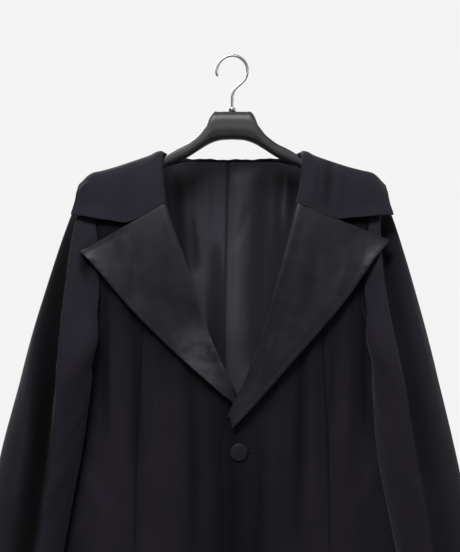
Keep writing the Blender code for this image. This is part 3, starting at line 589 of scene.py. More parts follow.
def lie_clear(grid, tree, clearance, fixed_columns=0, rounds=4):
    """Moves points out until they clear what they lie on, and evens the sheet out between rounds."""
    grid = grid.copy()
    for step in range(rounds):
        if step:
            soft = grid.copy()
            soft[1:-1, 1:-1] = (grid[:-2, 1:-1] + grid[2:, 1:-1] + grid[1:-1, :-2] + grid[1:-1, 2:]) / 4
            soft[1:-1, -1] = (grid[:-2, -1] + grid[2:, -1]) / 2
            grid[:, fixed_columns:] = mix(grid, soft, 0.5)[:, fixed_columns:]
        for r in range(grid.shape[0]):
            for c in range(fixed_columns, grid.shape[1]):
                point = Vector(grid[r, c])
                spot, normal, _, _ = tree.find_nearest(point)
                short = clearance[r, c] - (point - spot).dot(normal)
                if short > 0:
                    grid[r, c] += np.array(normal) * short
    return grid


def roll_over(edge, toward_open, outward, radius, steps):
    """A half-round roll from an edge of a panel out and back over it: its columns and their normals."""
    start = edge - outward * (SHELL / 2) + toward_open * SEAM_GAP
    columns, normals = [], []
    for angle in np.linspace(0, math.pi, steps + 1):
        facing = toward_open * math.sin(angle) - outward * math.cos(angle)
        columns.append(start + (outward + facing) * radius)
        normals.append(facing)
    return columns, normals


def outer_boundary(armhole, steps, low_drops):
    """(x, drop) of a panel's outer edge at each row: the armhole, then the side seam."""
    x, drop = columns_of(smooth_table(armhole, steps))
    low = np.array(low_drops)
    return np.concatenate([x, smooth_table(BODY, low)[:, 0]]), np.concatenate([drop, low])


def front_edge(hand, drop):
    return smooth_table(FRONT_EDGE_LEFT if hand > 0 else FRONT_EDGE_RIGHT, drop)[..., 0]


def front_sheet(hand, steps=ARMHOLE_STEPS, edge=FRONT_EDGE_DROPS, columns=FRONT_COLUMNS, low=LOW_DROPS):
    """Outer face of a front panel and its normals. hand is +1 for the wearer's left, -1 for the right."""
    outer_x, outer_drop = outer_boundary(ARMHOLE_FRONT, steps, low)
    inner_drop = np.array([*edge, *low])
    across = np.array(columns)
    x = mix(front_edge(hand, inner_drop)[:, None], outer_x[:, None], across) * hand
    drop = mix(inner_drop[:, None], outer_drop[:, None], across)
    drop[0] = shoulder_drop(x[0])
    normals = body_normal(x, drop, -1)
    outer = points_at(x, body_y(x, drop, -1) + overlap_shift(x, drop, hand), drop)
    seams = np.zeros(x.shape, bool)
    seams[0] = True
    seams[len(steps) - 1 :, -1] = True
    normals[seams] = in_seam_plane(normals[seams])
    outer[seams, 1] -= SEAM_GAP / 2
    return outer, normals, False


def back_sheet(steps=ARMHOLE_STEPS, columns=BACK_COLUMNS, low=LOW_DROPS):
    """Outer face of the back and its normals, from the wearer's right side seam to the left one."""
    outer_x, outer_drop = outer_boundary(ARMHOLE_BACK, steps, low)
    middle_drop = outer_drop.copy()
    middle_drop[: len(steps)] = mix(NECK_BACK, UNDERARM, (np.array(steps) / ARMHOLE_STEPS[-1]) ** 1.25)
    across = np.concatenate([-np.array(columns)[:0:-1], columns])
    x = outer_x[:, None] * across
    outward = smooth_step(np.abs(across), 0.2, 1.0)
    level = mix(middle_drop[:, None], outer_drop[:, None], outward)
    outer_under_top = outer_drop - back_top_drop(outer_x)
    under_top = mix((middle_drop - NECK_BACK)[:, None], outer_under_top[:, None], outward)
    near_top = np.clip(1 - (middle_drop - NECK_BACK) / (UNDERARM - NECK_BACK), 0, 1)[:, None]
    drop = mix(level, back_top_drop(x) + under_top, near_top)
    normals = body_normal(x, drop, 1)
    outer = points_at(x, body_y(x, drop, 1), drop)
    seams = np.zeros(x.shape, bool)
    seams[0] = np.abs(x[0]) > NECK_POINT[0] - 0.001
    seams[len(steps) - 1 :, [0, -1]] = True
    normals[seams] = in_seam_plane(normals[seams])
    outer[seams, 1] += SEAM_GAP / 2
    return outer, normals, False


def armhole_ring(hand, steps):
    """The armhole seam from the shoulder tip, down the front and up the back, with its normals."""
    halves, turns = [], []
    for table, side in ((ARMHOLE_FRONT, -1), (ARMHOLE_BACK, 1)):
        x, drop = columns_of(smooth_table(table, steps))
        points = points_at(x, body_y(x, drop, side), drop)
        normals = body_normal(x, drop, side)
        normals[[0, -1]] = in_seam_plane(normals[[0, -1]])
        lengths = np.concatenate([[0], np.cumsum(np.linalg.norm(np.diff(points, axis=0), axis=1))])
        halves.append((points, normals))
        turns.append(lengths / lengths[-1] * math.pi)
    points, normals = (np.concatenate([halves[0][k][:-1], halves[1][k][:0:-1]]) for k in (0, 1))
    turn = np.concatenate([turns[0][:-1], 2 * math.pi - turns[1][:0:-1]])
    mirror = np.array([hand, 1, 1])
    return points * mirror, normals * mirror, turn


def push_off_body(points, hand, clearance, weight):
    """Moves points out of the body's oval, along rays from a line inside it."""
    x, y, drop = points[..., 0] * hand, points[..., 1], -points[..., 2]
    half_width, front, back = columns_of(smooth_table(BODY, drop))
    core_x = half_width - 0.070
    middle = middle_y(x)
    away_x, away_y = x - core_x, y - middle
    depth = np.where(away_y < 0, front + 0.003, back + 0.004) + clearance
    wide = half_width + clearance

    def inside(scale):
        sideways = np.clip(np.abs(core_x + away_x * scale) / wide, 0, 2)
        return sideways**SIDE_POWER + (away_y * scale / depth) ** 2 < 1

    low, high = np.ones_like(x), np.full_like(x, 12.0)
    caught = inside(low) & (x > core_x - 0.03)
    for _ in range(30):
        half = (low + high) / 2
        still = inside(half)
        low, high = np.where(still, half, low), np.where(still, high, half)
    scale = np.where(caught, 1 + (high - 1) * weight, 1.0)
    moved = points_at((core_x + away_x * scale) * hand, middle + away_y * scale, drop)
    return np.where(caught[..., None], moved, points)


def sleeve_sheet(hand, steps=ARMHOLE_STEPS, cap_rows=10, low_rows=8):
    """Outer face of a sleeve: a cap that grows from the armhole, then rings down to the cuff."""
    seam, seam_normals, angle = armhole_ring(hand, steps)
    table = SLEEVE_LEFT if hand > 0 else SLEEVE_RIGHT
    top = np.clip(np.cos(angle), 0, 1)

    def ring(drop):
        inner, outer, middle, depth = smooth_table(table, drop)
        x = mix(inner, outer, (1 + np.cos(angle)) / 2)
        return points_at(x * hand, middle - depth * np.sin(angle), drop)

    first = ring(CAP_END)
    length = (seam[:, 2] - first[:, 2])[:, None]
    leave = mix(np.array(CAP_LOW_LEAVE), np.array(CAP_LEAVE), top[:, None]) * length
    leave *= np.stack([np.full_like(angle, hand), np.sin(angle), np.ones_like(angle)], axis=-1)
    arrive = np.array(CAP_ARRIVE) * [hand, 1, 1] * length
    rows = [hermite(t, seam, leave, first, arrive) for t in np.linspace(0, 1, cap_rows + 1)[:-1] ** 1.15]
    rows += [ring(drop) for drop in np.linspace(CAP_END, CUFF, low_rows + 1)]
    grid = np.array(rows)
    row = np.arange(len(rows))[:, None]
    sag_drop, sag_reach, inward, forward = SLEEVE_SAG
    lower_front = smooth_step(-np.cos(angle), -0.3, 0.4) * smooth_step(np.sin(angle), 0.1, 0.5)
    sag = lower_front * smooth_step(row, 0, 3) * bell(-grid[..., 2] - sag_drop, sag_reach)
    grid -= sag[..., None] * np.array([hand * inward, forward, 0])
    clearance = SLEEVE_CLEAR * smooth_step(row / cap_rows, -0.35, 0.3)
    inner_side = 1 - smooth_step(np.cos(angle), -0.1, 0.4)
    for _ in range(3):
        around = (np.roll(grid, 1, axis=1) + np.roll(grid, -1, axis=1)) / 2
        grid = mix(grid, around, 0.25 * smooth_step(row, 2, 6)[..., None])
        grid[1:-1] = mix(grid[1:-1], (grid[:-2] + grid[2:]) / 2, 0.25)
        weight = smooth_step(-grid[..., 2], SLEEVE_CLEAR_FROM, SLEEVE_CLEAR_TO) * inner_side
        grid[1:] = push_off_body(grid, hand, clearance, weight)[1:]
    centre = grid.mean(axis=1, keepdims=True)
    along = np.roll(seam, -1, axis=0) - np.roll(seam, 1, axis=0)
    off_panel = unit(np.cross(along, seam_normals))
    off_panel *= np.sign((off_panel * (seam.mean(axis=0) - seam)).sum(axis=-1, keepdims=True))
    normals = grid_normals(grid, grid - centre, ring=True)
    beside = (np.roll(normals, 1, axis=1) + np.roll(normals, -1, axis=1)) / 2
    normals[1:] = unit(mix(normals, beside, 0.5)[1:])
    toward_sleeve = (normals[0] * off_panel).sum(axis=-1, keepdims=True)
    normals[0] = unit(normals[0] - np.maximum(toward_sleeve, 0) * off_panel)
    grid[0] += unit(off_panel + seam_normals) * SEAM_GAP * (2 - np.cos(angle))[:, None]
    return grid, normals, True


def lining_sheet(hand, cols=10, rows=15):
    """Outer face of half the lining: the back's points moved inside its wall."""
    down = np.linspace(0, 1, rows) ** 1.1
    low = mix(NECK_BACK, LINING_HEM, down)
    edge_x, edge_drop = outer_boundary(ARMHOLE_BACK, ARMHOLE_STEPS, LOW_DROPS)
    outer_x = np.interp(low, edge_drop, edge_x) - LINING_MARGIN
    join = smooth_table(LINING_JOIN, low)[:, 0] * hand + SEAM_GAP / 2
    across = np.sin(np.linspace(0, math.pi / 2, cols))
    x = mix(join[:, None], outer_x[:, None], across)
    top = back_top_drop(x[0]) + mix(LINING_BELOW_NECK, LINING_BELOW_SHOULDER, smooth_step(x[0], 0.06, 0.11))
    drop = mix(top[None, :], LINING_HEM, down[:, None])
    normals = body_normal(x * hand, drop, 1)
    inside = SHELL + mix(LINING_GAP, LINING_GAP_LOW, smooth_step(drop, 0.2, 0.42))
    outer = points_at(x * hand, body_y(x * hand, drop, 1), drop) - normals * inside[..., None]
    return outer, normals, False


def with_midpoints(points):
    """The same line with a point added in the middle of each of its pieces."""
    doubled = np.empty((2 * len(points) - 1, 3))
    doubled[::2] = points
    doubled[1::2] = (points[:-1] + points[1:]) / 2
    return doubled


def neck_line(front, back):
    """The left half of the neckline from the gorge to the middle of the back, its normals and its run."""
    middle = back[0].shape[1] // 2
    parts = []
    for k in (0, 1):
        on_front = front[k][GORGE_ROW + 1 :: -1, 0]
        on_back = back[k][0, middle : middle + NECK_COLUMN][::-1]
        parts.append(with_midpoints(np.concatenate([on_front, on_back])))
    points, normals = parts
    points[2 * GORGE_ROW + 2, 1] = middle_y(NECK_POINT[0])
    normals[-1, 0] = 0
    return points[2:], unit(normals)[2:], unit(np.gradient(points, axis=0))[2:]


def collar_bed(x):
    return smooth_table(COLLAR_BED, x)[..., 0]


def collar_line(v, hand, front_turn, back_turn):
    """One line of the collar from its front edge over the shoulder to the middle of the back."""
    gorge_x = front_edge(hand, GORGE)
    notch_x, notch_drop = NOTCH_LEFT if hand > 0 else NOTCH_RIGHT
    notch_v = (notch_x - gorge_x) / (COLLAR_CORNER[0] - gorge_x)
    start_x = mix(gorge_x, COLLAR_CORNER[0], v)
    start_drop = np.interp(v, [0, notch_v, 1], [GORGE, notch_drop, COLLAR_CORNER[1]])
    cross_x = mix(NECK_POINT[0], COLLAR_TIP_X, v)
    x_front = mix(start_x, cross_x, front_turn)
    drop_front = collar_bed(x_front) + (start_drop - collar_bed(start_x)) * (1 - front_turn) ** 2
    turn = back_turn * math.pi / 2
    x_back = cross_x * np.cos(turn)
    end_drop = mix(NECK_BACK, COLLAR_BACK, v)
    drop_back = mix(collar_bed(cross_x), end_drop, np.sin(turn) ** mix(2.0, 1.15, v))
    side = np.concatenate([-np.ones(len(front_turn)), np.ones(len(back_turn))])
    return np.concatenate([x_front, x_back]), np.concatenate([drop_front, drop_back]), side


def collar_y(x, drop, side):
    """Y of what the collar lies on: the body, and past the shoulder tip the head of the sleeve."""
    below = np.maximum(drop - collar_bed(x), 0)
    turn = smooth_step(x, SLEEVE_HEAD_FROM, SLEEVE_HEAD_TO)
    radius = mix(SHOULDER_RADIUS, SLEEVE_HEAD_RADIUS, turn)
    full = np.where(side < 0, COLLAR_FRONT_DEPTH, COLLAR_BACK_DEPTH)
    depth = rounded_depth(below * mix(1, 0.45, turn), radius, full)
    return middle_y(x) + side * side_taper(x, COLLAR_HALF_WIDTH) * depth


def collar_half(hand, front, back, across_count, roll_steps):
    """Half of the collar: columns of its neck roll, then of its fall out to the outer edge."""
    edge, outward, along = neck_line(front, back)
    toward_open = unit(np.cross(along, outward))
    from_armhole = edge - points_at(ARMHOLE_FRONT[3][1], 0.0, ARMHOLE_FRONT[3][2])
    toward_open *= np.sign((toward_open * from_armhole).sum(axis=-1, keepdims=True))
    toward_open[-1, 0] = 0
    lines, roll_normals = roll_over(edge, unit(toward_open), outward, ROLL_RADIUS_TOP, roll_steps)
    front_turn = np.linspace(0, 1, 2 * GORGE_ROW + 1)
    back_turn = np.linspace(0, 1, len(edge) - len(front_turn) + 1)[1:]
    for v in np.linspace(0, 1, across_count + 1)[1:]:
        x, drop, side = collar_line(v, hand, front_turn, back_turn)
        lines.append(points_at(x, collar_y(x, drop, side), drop))
    return np.array(lines).transpose(1, 0, 2), np.array(roll_normals).transpose(1, 0, 2)


def fall_normals(sheet, roll_normals):
    """Normals of a sheet that starts with a roll, whose own are known."""
    rolled = roll_normals.shape[1]
    normals = grid_normals(sheet, np.zeros(3) + 1)
    normals *= np.sign((normals[:, rolled] * roll_normals[:, -1]).sum())
    normals[:, :rolled] = roll_normals
    return normals


def collar_sheet(front_left, front_right, back, tree, across_count=7, roll_steps=4):
    """Outer face of the collar, from the right gorge round the back to the left one."""
    mirror = np.array([-1, 1, 1])
    left = collar_half(1, front_left, back, across_count, roll_steps)
    flipped = [part * mirror for part in front_right[:2]]
    right = [part * mirror for part in collar_half(-1, flipped, back, across_count, roll_steps)]
    sheet, roll_normals = (np.concatenate([right[k][:-1], left[k][::-1]]) for k in (0, 1))
    rolled = roll_steps + 1
    clearance = np.zeros(sheet.shape[:2])
    toward_edge = smooth_step(np.linspace(0, 1, across_count), 0.4, 1.0)
    clearance[:, rolled:] = COLLAR_REST + COLLAR_LIFT * toward_edge
    sheet = lie_clear(sheet, tree, clearance, fixed_columns=rolled)
    normals = fall_normals(sheet, roll_normals)
    return sheet + normals * COLLAR_WALL / 2, normals, False


def lapel_sheet(hand, front, tree, cols=8, roll_steps=4, rows=LAPEL_ROWS):
    """Outer face of a lapel: a half-round roll along the front's edge, then a fall out to its edge."""
    lapel_edge = LAPEL_EDGE_LEFT if hand > 0 else LAPEL_EDGE_RIGHT
    span = slice(GORGE_ROW, GORGE_ROW + rows)
    roll, outward = front[0][span, 0].copy(), front[1][span, 0]
    along = unit(np.gradient(front[0][:, 0], axis=0))[span]
    roll[0] += along[0] * SEAM_GAP
    roll_x, roll_drop = roll[:, 0] * hand, -roll[:, 2]
    down = (roll_drop - roll_drop[0]) / (roll_drop[-1] - roll_drop[0])
    edge_x, edge_drop = columns_of(smooth_table(lapel_edge, down * lapel_edge[-1][0]))
    edge_drop = edge_drop + SEAM_GAP
    toward_open = unit(np.cross(along, outward))
    toward_open *= -np.sign(toward_open[:, :1]) * hand
    radius = mix(ROLL_RADIUS_TOP, ROLL_RADIUS_BREAK, down)[:, None]
    columns, roll_normals = roll_over(roll, toward_open, outward, radius, roll_steps)
    for b in np.linspace(0, 1, cols + 1)[1:] ** 1.1:
        x = mix(roll_x, edge_x, b) * hand
        drop = mix(roll_drop, edge_drop, b)
        bed = points_at(x, body_y(x, drop, -1) + overlap_shift(x, drop, hand), drop)
        columns.append(bed + body_normal(x, drop, -1) * (2 * radius - SHELL / 2))
    grid = np.array(columns).transpose(1, 0, 2)
    rolled = roll_steps + 1
    clearance = np.full(grid.shape[:2], LAPEL_WALL / 2 + LAPEL_REST)
    clearance[:, rolled:] += LAPEL_LIFT * np.linspace(0, 1, cols) ** 1.5
    grid = lie_clear(grid, tree, clearance, fixed_columns=rolled)
    normals = fall_normals(grid, np.array(roll_normals).transpose(1, 0, 2))
    return grid + normals * LAPEL_WALL / 2, normals, False


def sweep(path, radii, sides):
    """Rings of points along a path in the XZ plane, one radius at each of its points."""
    along = unit(np.gradient(path, axis=0))
    across = np.cross(along, np.array([0.0, 1.0, 0.0]))
    turn = np.linspace(0, 2 * math.pi, sides, endpoint=False)
    return [
        point + radius * (np.outer(np.cos(turn), side) + np.outer(np.sin(turn), [0.0, 1.0, 0.0]))
        for point, side, radius in zip(path, across, radii)
    ]


# Spacing of the fine sheets, along the length and across.
PANEL_SPACING = 0.0065
ARMHOLE_STEP_LENGTH = 0.055
SLEEVE_SPACING = (0.0060, 0.0026)
COLLAR_SPACING = (0.0040, 0.0030)
LAPEL_SPACING = (0.0024, 0.0024)
# Painted shade: how much darker the cloth's colour is made where little light reaches: in folds, beside
# seams, under the lapels and on the lining below its top.
HOLLOW_DEPTH = 0.0060
SLEEVE_SHADE = {"sleeve_left": 0.7, "sleeve_right": 1.8}
LAPEL_SHADE, LAPEL_SHADE_REACH = 0.80, 0.045
LINING_SHADE = 3.6
LINING_LOW_SHADE, LINING_LOW_SHADE_FROM = 0.40, 0.045
LINING_SEAM_SHADE, LINING_SEAM_WIDTH = 0.85, 0.0016
SEAM_SHADE, SEAM_SHADE_WIDTH = 0.8, 0.0035
DART_SHADE, DART_SHADE_WIDTH = 0.60, 0.0014
GORGE_SHADE, GORGE_SHADE_WIDTH = 0.95, 0.0020
# The free edges of lapels and collar lift a little, and the neck's edge is wavy.
LAPEL_EDGE_LIFT = 0.0045
COLLAR_FRONT_LIFT = 0.0045
NECK_WAVE, NECK_WAVE_LONG, NECK_WAVE_SHORT = 0.0006, 0.041, 0.017
# Seam allowances turned in at the panels' seams, and under the panels round the armhole.
ALLOWANCE_TURN = 0.0040
ALLOWANCE = [
    # depth below the seam, reach under the panel
    (0.0014, -0.0002),
    (0.0026, 0.0010),
    (0.0032, 0.0034),
    (0.0034, 0.0070),
]
TOP_EDGE = (0, slice(None))
# How far each edge of a wall is rounded out: its top, bottom, first and last edge.
RIM_STEPS = 5
NO_RIM = (0, 0, 0, 0)
HEM_RIM = (0, 0.0006, 0, 0)
COLLAR_RIM = (0, 0, 0, 0.0008)
LAPEL_RIM = (0, 0, 0, 0.0007)
# Seams that are pressed flat: columns beside them, and how far their cloth dips.
DITCH_OFFSETS = (-0.0030, -0.0012, -0.0005, 0.0, 0.0005, 0.0012, 0.0030)
DITCH_WIDTH = 0.0012
DITCH_DEPTH = 0.0006
SEAM_DIP_WIDTH = 0.0030
SEAM_DIP_DEPTH = 0.0005

# Creases in millimetres: ridges where the height is positive and troughs where it is negative.
# Each row: x, drop at the start, x, drop at the end, bow, width, height.
CREASES = {
    "front_left": [
        (90, 390, 83, 660, 3, 9, -6.1),
        (64, 430, 56, 680, -3, 9, 4.7),
        (106, 370, 101, 620, 2, 7, 3.2),
        (150, 320, 149, 570, 3, 9.5, 6.1),
        (134, 360, 134, 500, -2, 5.5, -2.5),
        (173, 290, 178, 520, 0, 7, -6.1),
        (36, 500, 30, 720, 3, 9, -4),
        (200, 520, 140, 640, 10, 12, 2.9),
        (110, 640, 118, 960, 4, 16, 5.4),
        (205, 660, 215, 960, -6, 14, -4.7),
        (165, 600, 170, 960, 4, 15, 4),
        (62, 680, 58, 960, -3, 12, -3.6),
        (40, 560, 100, 545, 3, 6, -1.4),
        (20, 540, 70, 600, 4, 6, 1.4),
    ],
    "front_right": [
        (-166, 290, -166, 520, 0, 6.5, -5.8),
        (-149, 300, -152, 560, 2, 8, 6.5),
        (-128, 330, -124, 560, 2, 7.5, -5),
        (-99, 360, -94, 640, -3, 8.5, 6.5),
        (-73, 390, -68, 640, 3, 7, 4),
        (-56, 420, -52, 680, 3, 8.5, -5.4),
        (-34, 450, -32, 660, 2, 8, 3.6),
        (-205, 540, -150, 630, -8, 11, 2.8),
        (-112, 640, -125, 960, -5, 15, 5),
        (-200, 640, -222, 960, 6, 15, -4.7),
        (-160, 620, -172, 960, 4, 14, 4),
        (-75, 680, -80, 960, 3, 13, -4),
        (-30, 555, -85, 575, -3, 6, -1.4),
    ],
    "back": [
        (-160, 300, -120, 520, 8, 13, 2.5),
        (150, 310, 118, 500, -8, 12, 2.8),
        (-95, 450, -105, 960, 6, 15, -3.4),
        (100, 470, 118, 960, -5, 16, -3.1),
        (-200, 600, -215, 960, 4, 14, 2.8),
        (205, 580, 222, 960, 4, 14, 2.5),
        (-180, 520, -60, 545, 6, 9, 1.4),
        (70, 540, 185, 515, -6, 8, 1.4),
        (-30, 600, -36, 900, 3, 12, 2),
        (45, 620, 40, 930, -3, 11, -1.7),
    ],
    "collar": [
        (112, 126, 101, 210, 2, 5.5, 4.7),
        (148, 136, 138, 218, -3, 5.5, 4),
        (130, 140, 122, 216, 2, 6, -3.2),
        (176, 162, 170, 216, 2, 5, 1.3),
        (-118, 140, -112, 214, 2, 8, 1.3),
        (-168, 164, -160, 218, -2, 7, 1.1),
    ],
    "lapel_left": [
        (152, 262, 128, 345, 3, 7, 0.8),
        (118, 250, 96, 370, -3, 8, -1),
        (98, 236, 70, 400, 5, 10, 1),
        (78, 320, 44, 430, 3, 7, -0.8),
        (56, 370, 28, 456, 2, 6, 1),
        (176, 262, 160, 300, 2, 5, -0.6),
    ],
    "lapel_right": [
        (-161.6, 258, -160, 292, 0, 4, 0.6),
        (-151, 254, -149, 310, 1, 4, -0.4),
        (-139.5, 248, -138, 330, 1, 5, 0.9),
        (-127.5, 243, -126, 345, 1, 5.5, -0.9),
        (-111, 240, -110, 340, -2, 6, 0.8),
        (-93, 240, -82, 390, 3, 9, -1),
        (-70, 330, -40, 440, -4, 8.5, 1),
        (-56, 300, -30, 400, 3, 5, -0.4),
    ],
    "lining_left": [
        (10, 100, 6, 400, 2, 11, 5),
        (44, 100, 36, 440, -2, 13, -5.6),
        (26, 190, 2, 262, 2, 4, -2),
        (68, 110, 54, 460, 4, 11, -5.2),
        (78, 130, 74, 260, -2, 4, 3.4),
        (90, 150, 72, 420, -3, 9, -5.6),
        (105, 200, 85, 520, 3, 7, 2),
        (150, 250, 120, 860, 4, 12, 2.4),
        (50, 500, 60, 900, 4, 14, 2.4),
    ],
    "lining_right": [
        (-22, 250, -26, 480, 2, 10.5, -7),
        (-36, 110, -34, 265, -1, 7, 3.4),
        (-50, 100, -44, 270, -2, 6, 2.8),
        (-58, 200, -52, 300, 3, 4.5, -3.4),
        (-80, 110, -60, 400, -3, 7, -3.4),
        (-43, 290, -38, 480, 2, 4, 2),
        (-105, 200, -80, 520, 3, 8, 2),
        (-145, 260, -115, 860, 4, 12, 2.4),
        (-50, 520, -58, 900, 4, 14, 2.2),
    ],
}
# On a sleeve the first and third columns are thousandths of a turn: 0 outside, 250 front, 500 inside.
SLEEVE_CREASES = {
    "sleeve_left": [
        (300, 250, 330, 420, 10, 10, -1.2),
        (370, 400, 280, 560, 12, 9, 1.6),
        (420, 480, 220, 600, 8, 10, 1.8),
        (140, 280, 160, 520, -6, 12, 1),
        (400, 560, 250, 680, -8, 9, -1.4),
        (800, 260, 740, 520, 10, 13, 2.4),
        (640, 420, 760, 600, -10, 10, 1.8),
        (880, 400, 840, 700, 6, 12, -1.8),
    ],
    "sleeve_right": [
        (310, 260, 335, 430, 10, 10, -1),
        (380, 420, 290, 540, 12, 9, 1.4),
        (420, 500, 230, 620, 8, 11, 1.8),
        (150, 300, 150, 540, 6, 12, 1),
        (390, 580, 260, 700, -8, 9, -1.4),
        (790, 280, 750, 540, 10, 13, 2.2),
        (650, 440, 750, 620, -10, 11, 2),
        (870, 420, 850, 700, 6, 12, -1.6),
    ],
}
SLEEVE_SEAM_TURNS = (0.43, 0.70)
SLEEVE_AROUND = 0.36

# Waviness that the cloth has everywhere: size of a wave across and its height.
WAVINESS = {
    "shell": (0.060, 0.0012),
    "collar": (0.045, 0.0007),
    "satin": (0.040, 0.0005),
    "lining": (0.035, 0.0012),
}

# Pick stitches: how far in from the edge, how far apart, and their thread.
PICK_INSET = 0.0055
PICK_PITCH = 0.0068
PICK_LENGTH = 0.0018
THREAD_RADIUS = 0.00022
PUCKER_PITCH = 0.0136
PUCKER_HEIGHT = 0.0006
HEM_ALLOWANCE = 0.040
CUFF_ALLOWANCE = 0.035
HEM_MARK = 0.0004


def smooth_path(points, count):
    """Points at even spacing on a smooth curve through a path's own points."""
    points = np.array(points, float)
    lengths = np.concatenate([[0], np.cumsum(np.linalg.norm(np.diff(points, axis=0), axis=1))])
    return smooth_table(np.column_stack([lengths, points]), np.linspace(0, lengths[-1], count))


def hanger_rings():
    """Rings of the hanger from tip to tip: a rounded box section with a bead along its lower edge."""
    half = cut_finer([row[0] for row in HANGER], parts_for([row[0] for row in HANGER], HANGER_SPACING))
    x = np.concatenate([-half[:0:-1], half])
    top, bottom, half_depth = columns_of(smooth_table(HANGER, np.abs(x)))
    turn = np.linspace(0, 2 * math.pi, HANGER_SIDES + 1)[:-1]
    power = 2 / HANGER_SQUARENESS
    round_y = np.sign(np.cos(turn)) * np.abs(np.cos(turn)) ** power
    round_z = np.sign(np.sin(turn)) * np.abs(np.sin(turn)) ** power
    round_y = round_y * (1 + BEAD * bell(round_z + BEAD_AT, BEAD_WIDTH) - BEAD * bell(round_z, 0.45))
    middle = (top + bottom) / 2
    drop = middle[:, None] - ((bottom - top) / 2)[:, None] * round_z
    rings = points_at(x[:, None], middle_y(x)[:, None] + half_depth[:, None] * round_y, drop)
    ends = []
    for end, outward in ((0, -1), (-1, 1)):
        centre = rings[end].mean(axis=0)
        steps = [(0.85, 0.0010), (0.55, 0.0018), (0.0, 0.0022)]
        ends.append([mix(centre, rings[end], part) + [outward * reach, 0, 0] for part, reach in steps])
    return np.concatenate([ends[0][::-1], rings, ends[1]])


def hook_rings():
    """Rings of the hook's wire from its rounded tip down to the turned ferrule."""
    x, drop = smooth_path(HOOK_PATH, HOOK_RINGS).T
    foot = np.array([at for at, _ in FERRULE])
    path = np.concatenate([points_at(x, 0.0, drop), points_at(0.0, 0.0, foot)])
    tip = np.sqrt(np.clip(1 - (1 - np.linspace(0, 1, 6)[:-1]) ** 2, 0, 1))
    turned = [radius for _, radius in FERRULE]
    radii = np.concatenate([HOOK_WIRE * tip, np.full(HOOK_RINGS - len(tip), HOOK_WIRE), turned])
    return np.array(sweep(path, radii, HOOK_SIDES))


def cut_finer(values, parts):
    """The same numbers with each interval cut into its own count of equal parts."""
    pieces = [np.linspace(a, b, n + 1)[:-1] for a, b, n in zip(values, values[1:], parts)]
    return np.concatenate([*pieces, values[-1:]])


def parts_for(values, spacing):
    return [max(1, math.ceil((b - a) / spacing)) for a, b in zip(values, values[1:])]


def run_lengths(grid, axis):
    """Distance along each row or column of a grid from its first point."""
    steps = np.linalg.norm(np.diff(grid, axis=axis), axis=-1)
    start = np.zeros_like(np.take(steps, [0], axis=axis))
    return np.concatenate([start, np.cumsum(steps, axis=axis)], axis=axis)


def refine(sheet, spacing, seam_turns=()):
    """A finer sheet through the same points. A ring gets extra columns beside its long seams."""
    outer, normals, ring = sheet
    both = np.concatenate([outer, normals], axis=-1)
    count = both.shape[1]
    if ring:
        both = np.concatenate([both[:, -3:], both, both[:, :4]], axis=1)
    for axis in (0, 1):
        keys = run_lengths(both[..., :3], axis).mean(axis=1 - axis)
        fine = cut_finer(keys, parts_for(keys, spacing[axis]))
        if ring and axis == 1:
            first, last = keys[3], keys[3 + count]
            extra = [first + (last - first) * turn + side for turn in seam_turns for side in DITCH_OFFSETS]
            fine = np.unique(np.concatenate([fine[(fine >= first) & (fine < last - 1e-6)], extra]))
        moved = np.moveaxis(both, axis, 0)
        table = np.column_stack([keys, moved.reshape(len(keys), -1)])
        both = np.moveaxis(smooth_table(table, fine).reshape(len(fine), *moved.shape[1:]), 0, axis)
    return both[..., :3], unit(both[..., 3:]), ring


def creases(table, across, drop):
    """Height of soft ridges and troughs, each along its own bowed line."""
    total = np.zeros(np.broadcast(across, drop).shape)
    for u_start, drop_start, u_end, drop_end, bow, width, height in np.array(table) / 1000:
        run_u, run_drop = u_end - u_start, drop_end - drop_start
        length = math.hypot(run_u, run_drop)
        along = np.clip(((across - u_start) * run_u + (drop - drop_start) * run_drop) / length**2, 0, 1)
        aside = ((across - u_start) * run_drop - (drop - drop_start) * run_u) / length
        aside = aside - bow * np.sin(math.pi * along)
        total += height * np.sin(math.pi * along) ** 0.7 * bell(aside, width * (0.7 + 0.6 * along))
    return total


def waviness(points, cloth, seed):
    """Gentle unevenness, longer down the cloth than across it."""
    size, height = WAVINESS[cloth]
    scaled = points.reshape(-1, 3) / np.array([size, size, size * 2.2]) + seed * 7.3
    values = [noise.noise(Vector(p)) for p in scaled]
    return np.array(values).reshape(points.shape[:2]) * height


def seam_dip(distance):
    """Cloth turns in a little where it is sewn to its neighbour."""
    return -SEAM_DIP_DEPTH * bell(distance, SEAM_DIP_WIDTH)


def edge_pull(distance, along, strength=1.0):
    """The groove and uneven puckers that a row of pick stitches pulls in beside an edge."""
    phase = along / PUCKER_PITCH + 0.30 * np.sin(along * 41.0) + 0.22 * np.sin(along * 97.0 + 1.0)
    pucker = 0.5 - 0.5 * np.cos(2 * math.pi * phase)
    uneven = 0.65 + 0.35 * np.sin(along * 29.0 + 0.7)
    groove = -0.45 * PUCKER_HEIGHT * bell(distance - PICK_INSET, 0.0022)
    lifted = PUCKER_HEIGHT * uneven * pucker * bell(distance - PICK_INSET * 0.45, PICK_INSET * 0.75)
    spread = -0.5 * PUCKER_HEIGHT * pucker * bell(distance - PICK_INSET * 1.5, PICK_INSET * 0.7)
    return strength * (groove + lifted + spread)


def sided(piece, hand):
    """The name of a piece on one side of the wearer."""
    return piece + ("_left" if hand > 0 else "_right")


def measured(outer):
    """The x and drop of a sheet's points, and their distances along its rows and columns."""
    return outer[..., 0], -outer[..., 2], run_lengths(outer, 1), run_lengths(outer, 0)


def raised(sheet, height):
    """A sheet with its points moved out along its normals."""
    outer, normals, ring = sheet
    return outer + normals * height[..., None], normals, ring


def hollows(height):
    """How much painted shade each point gets from the fold it lies in: 0 on the open cloth, towards 1 in its
    deepest hollows.
    """
    return 1 - np.exp(np.minimum(height, 0) / HOLLOW_DEPTH)


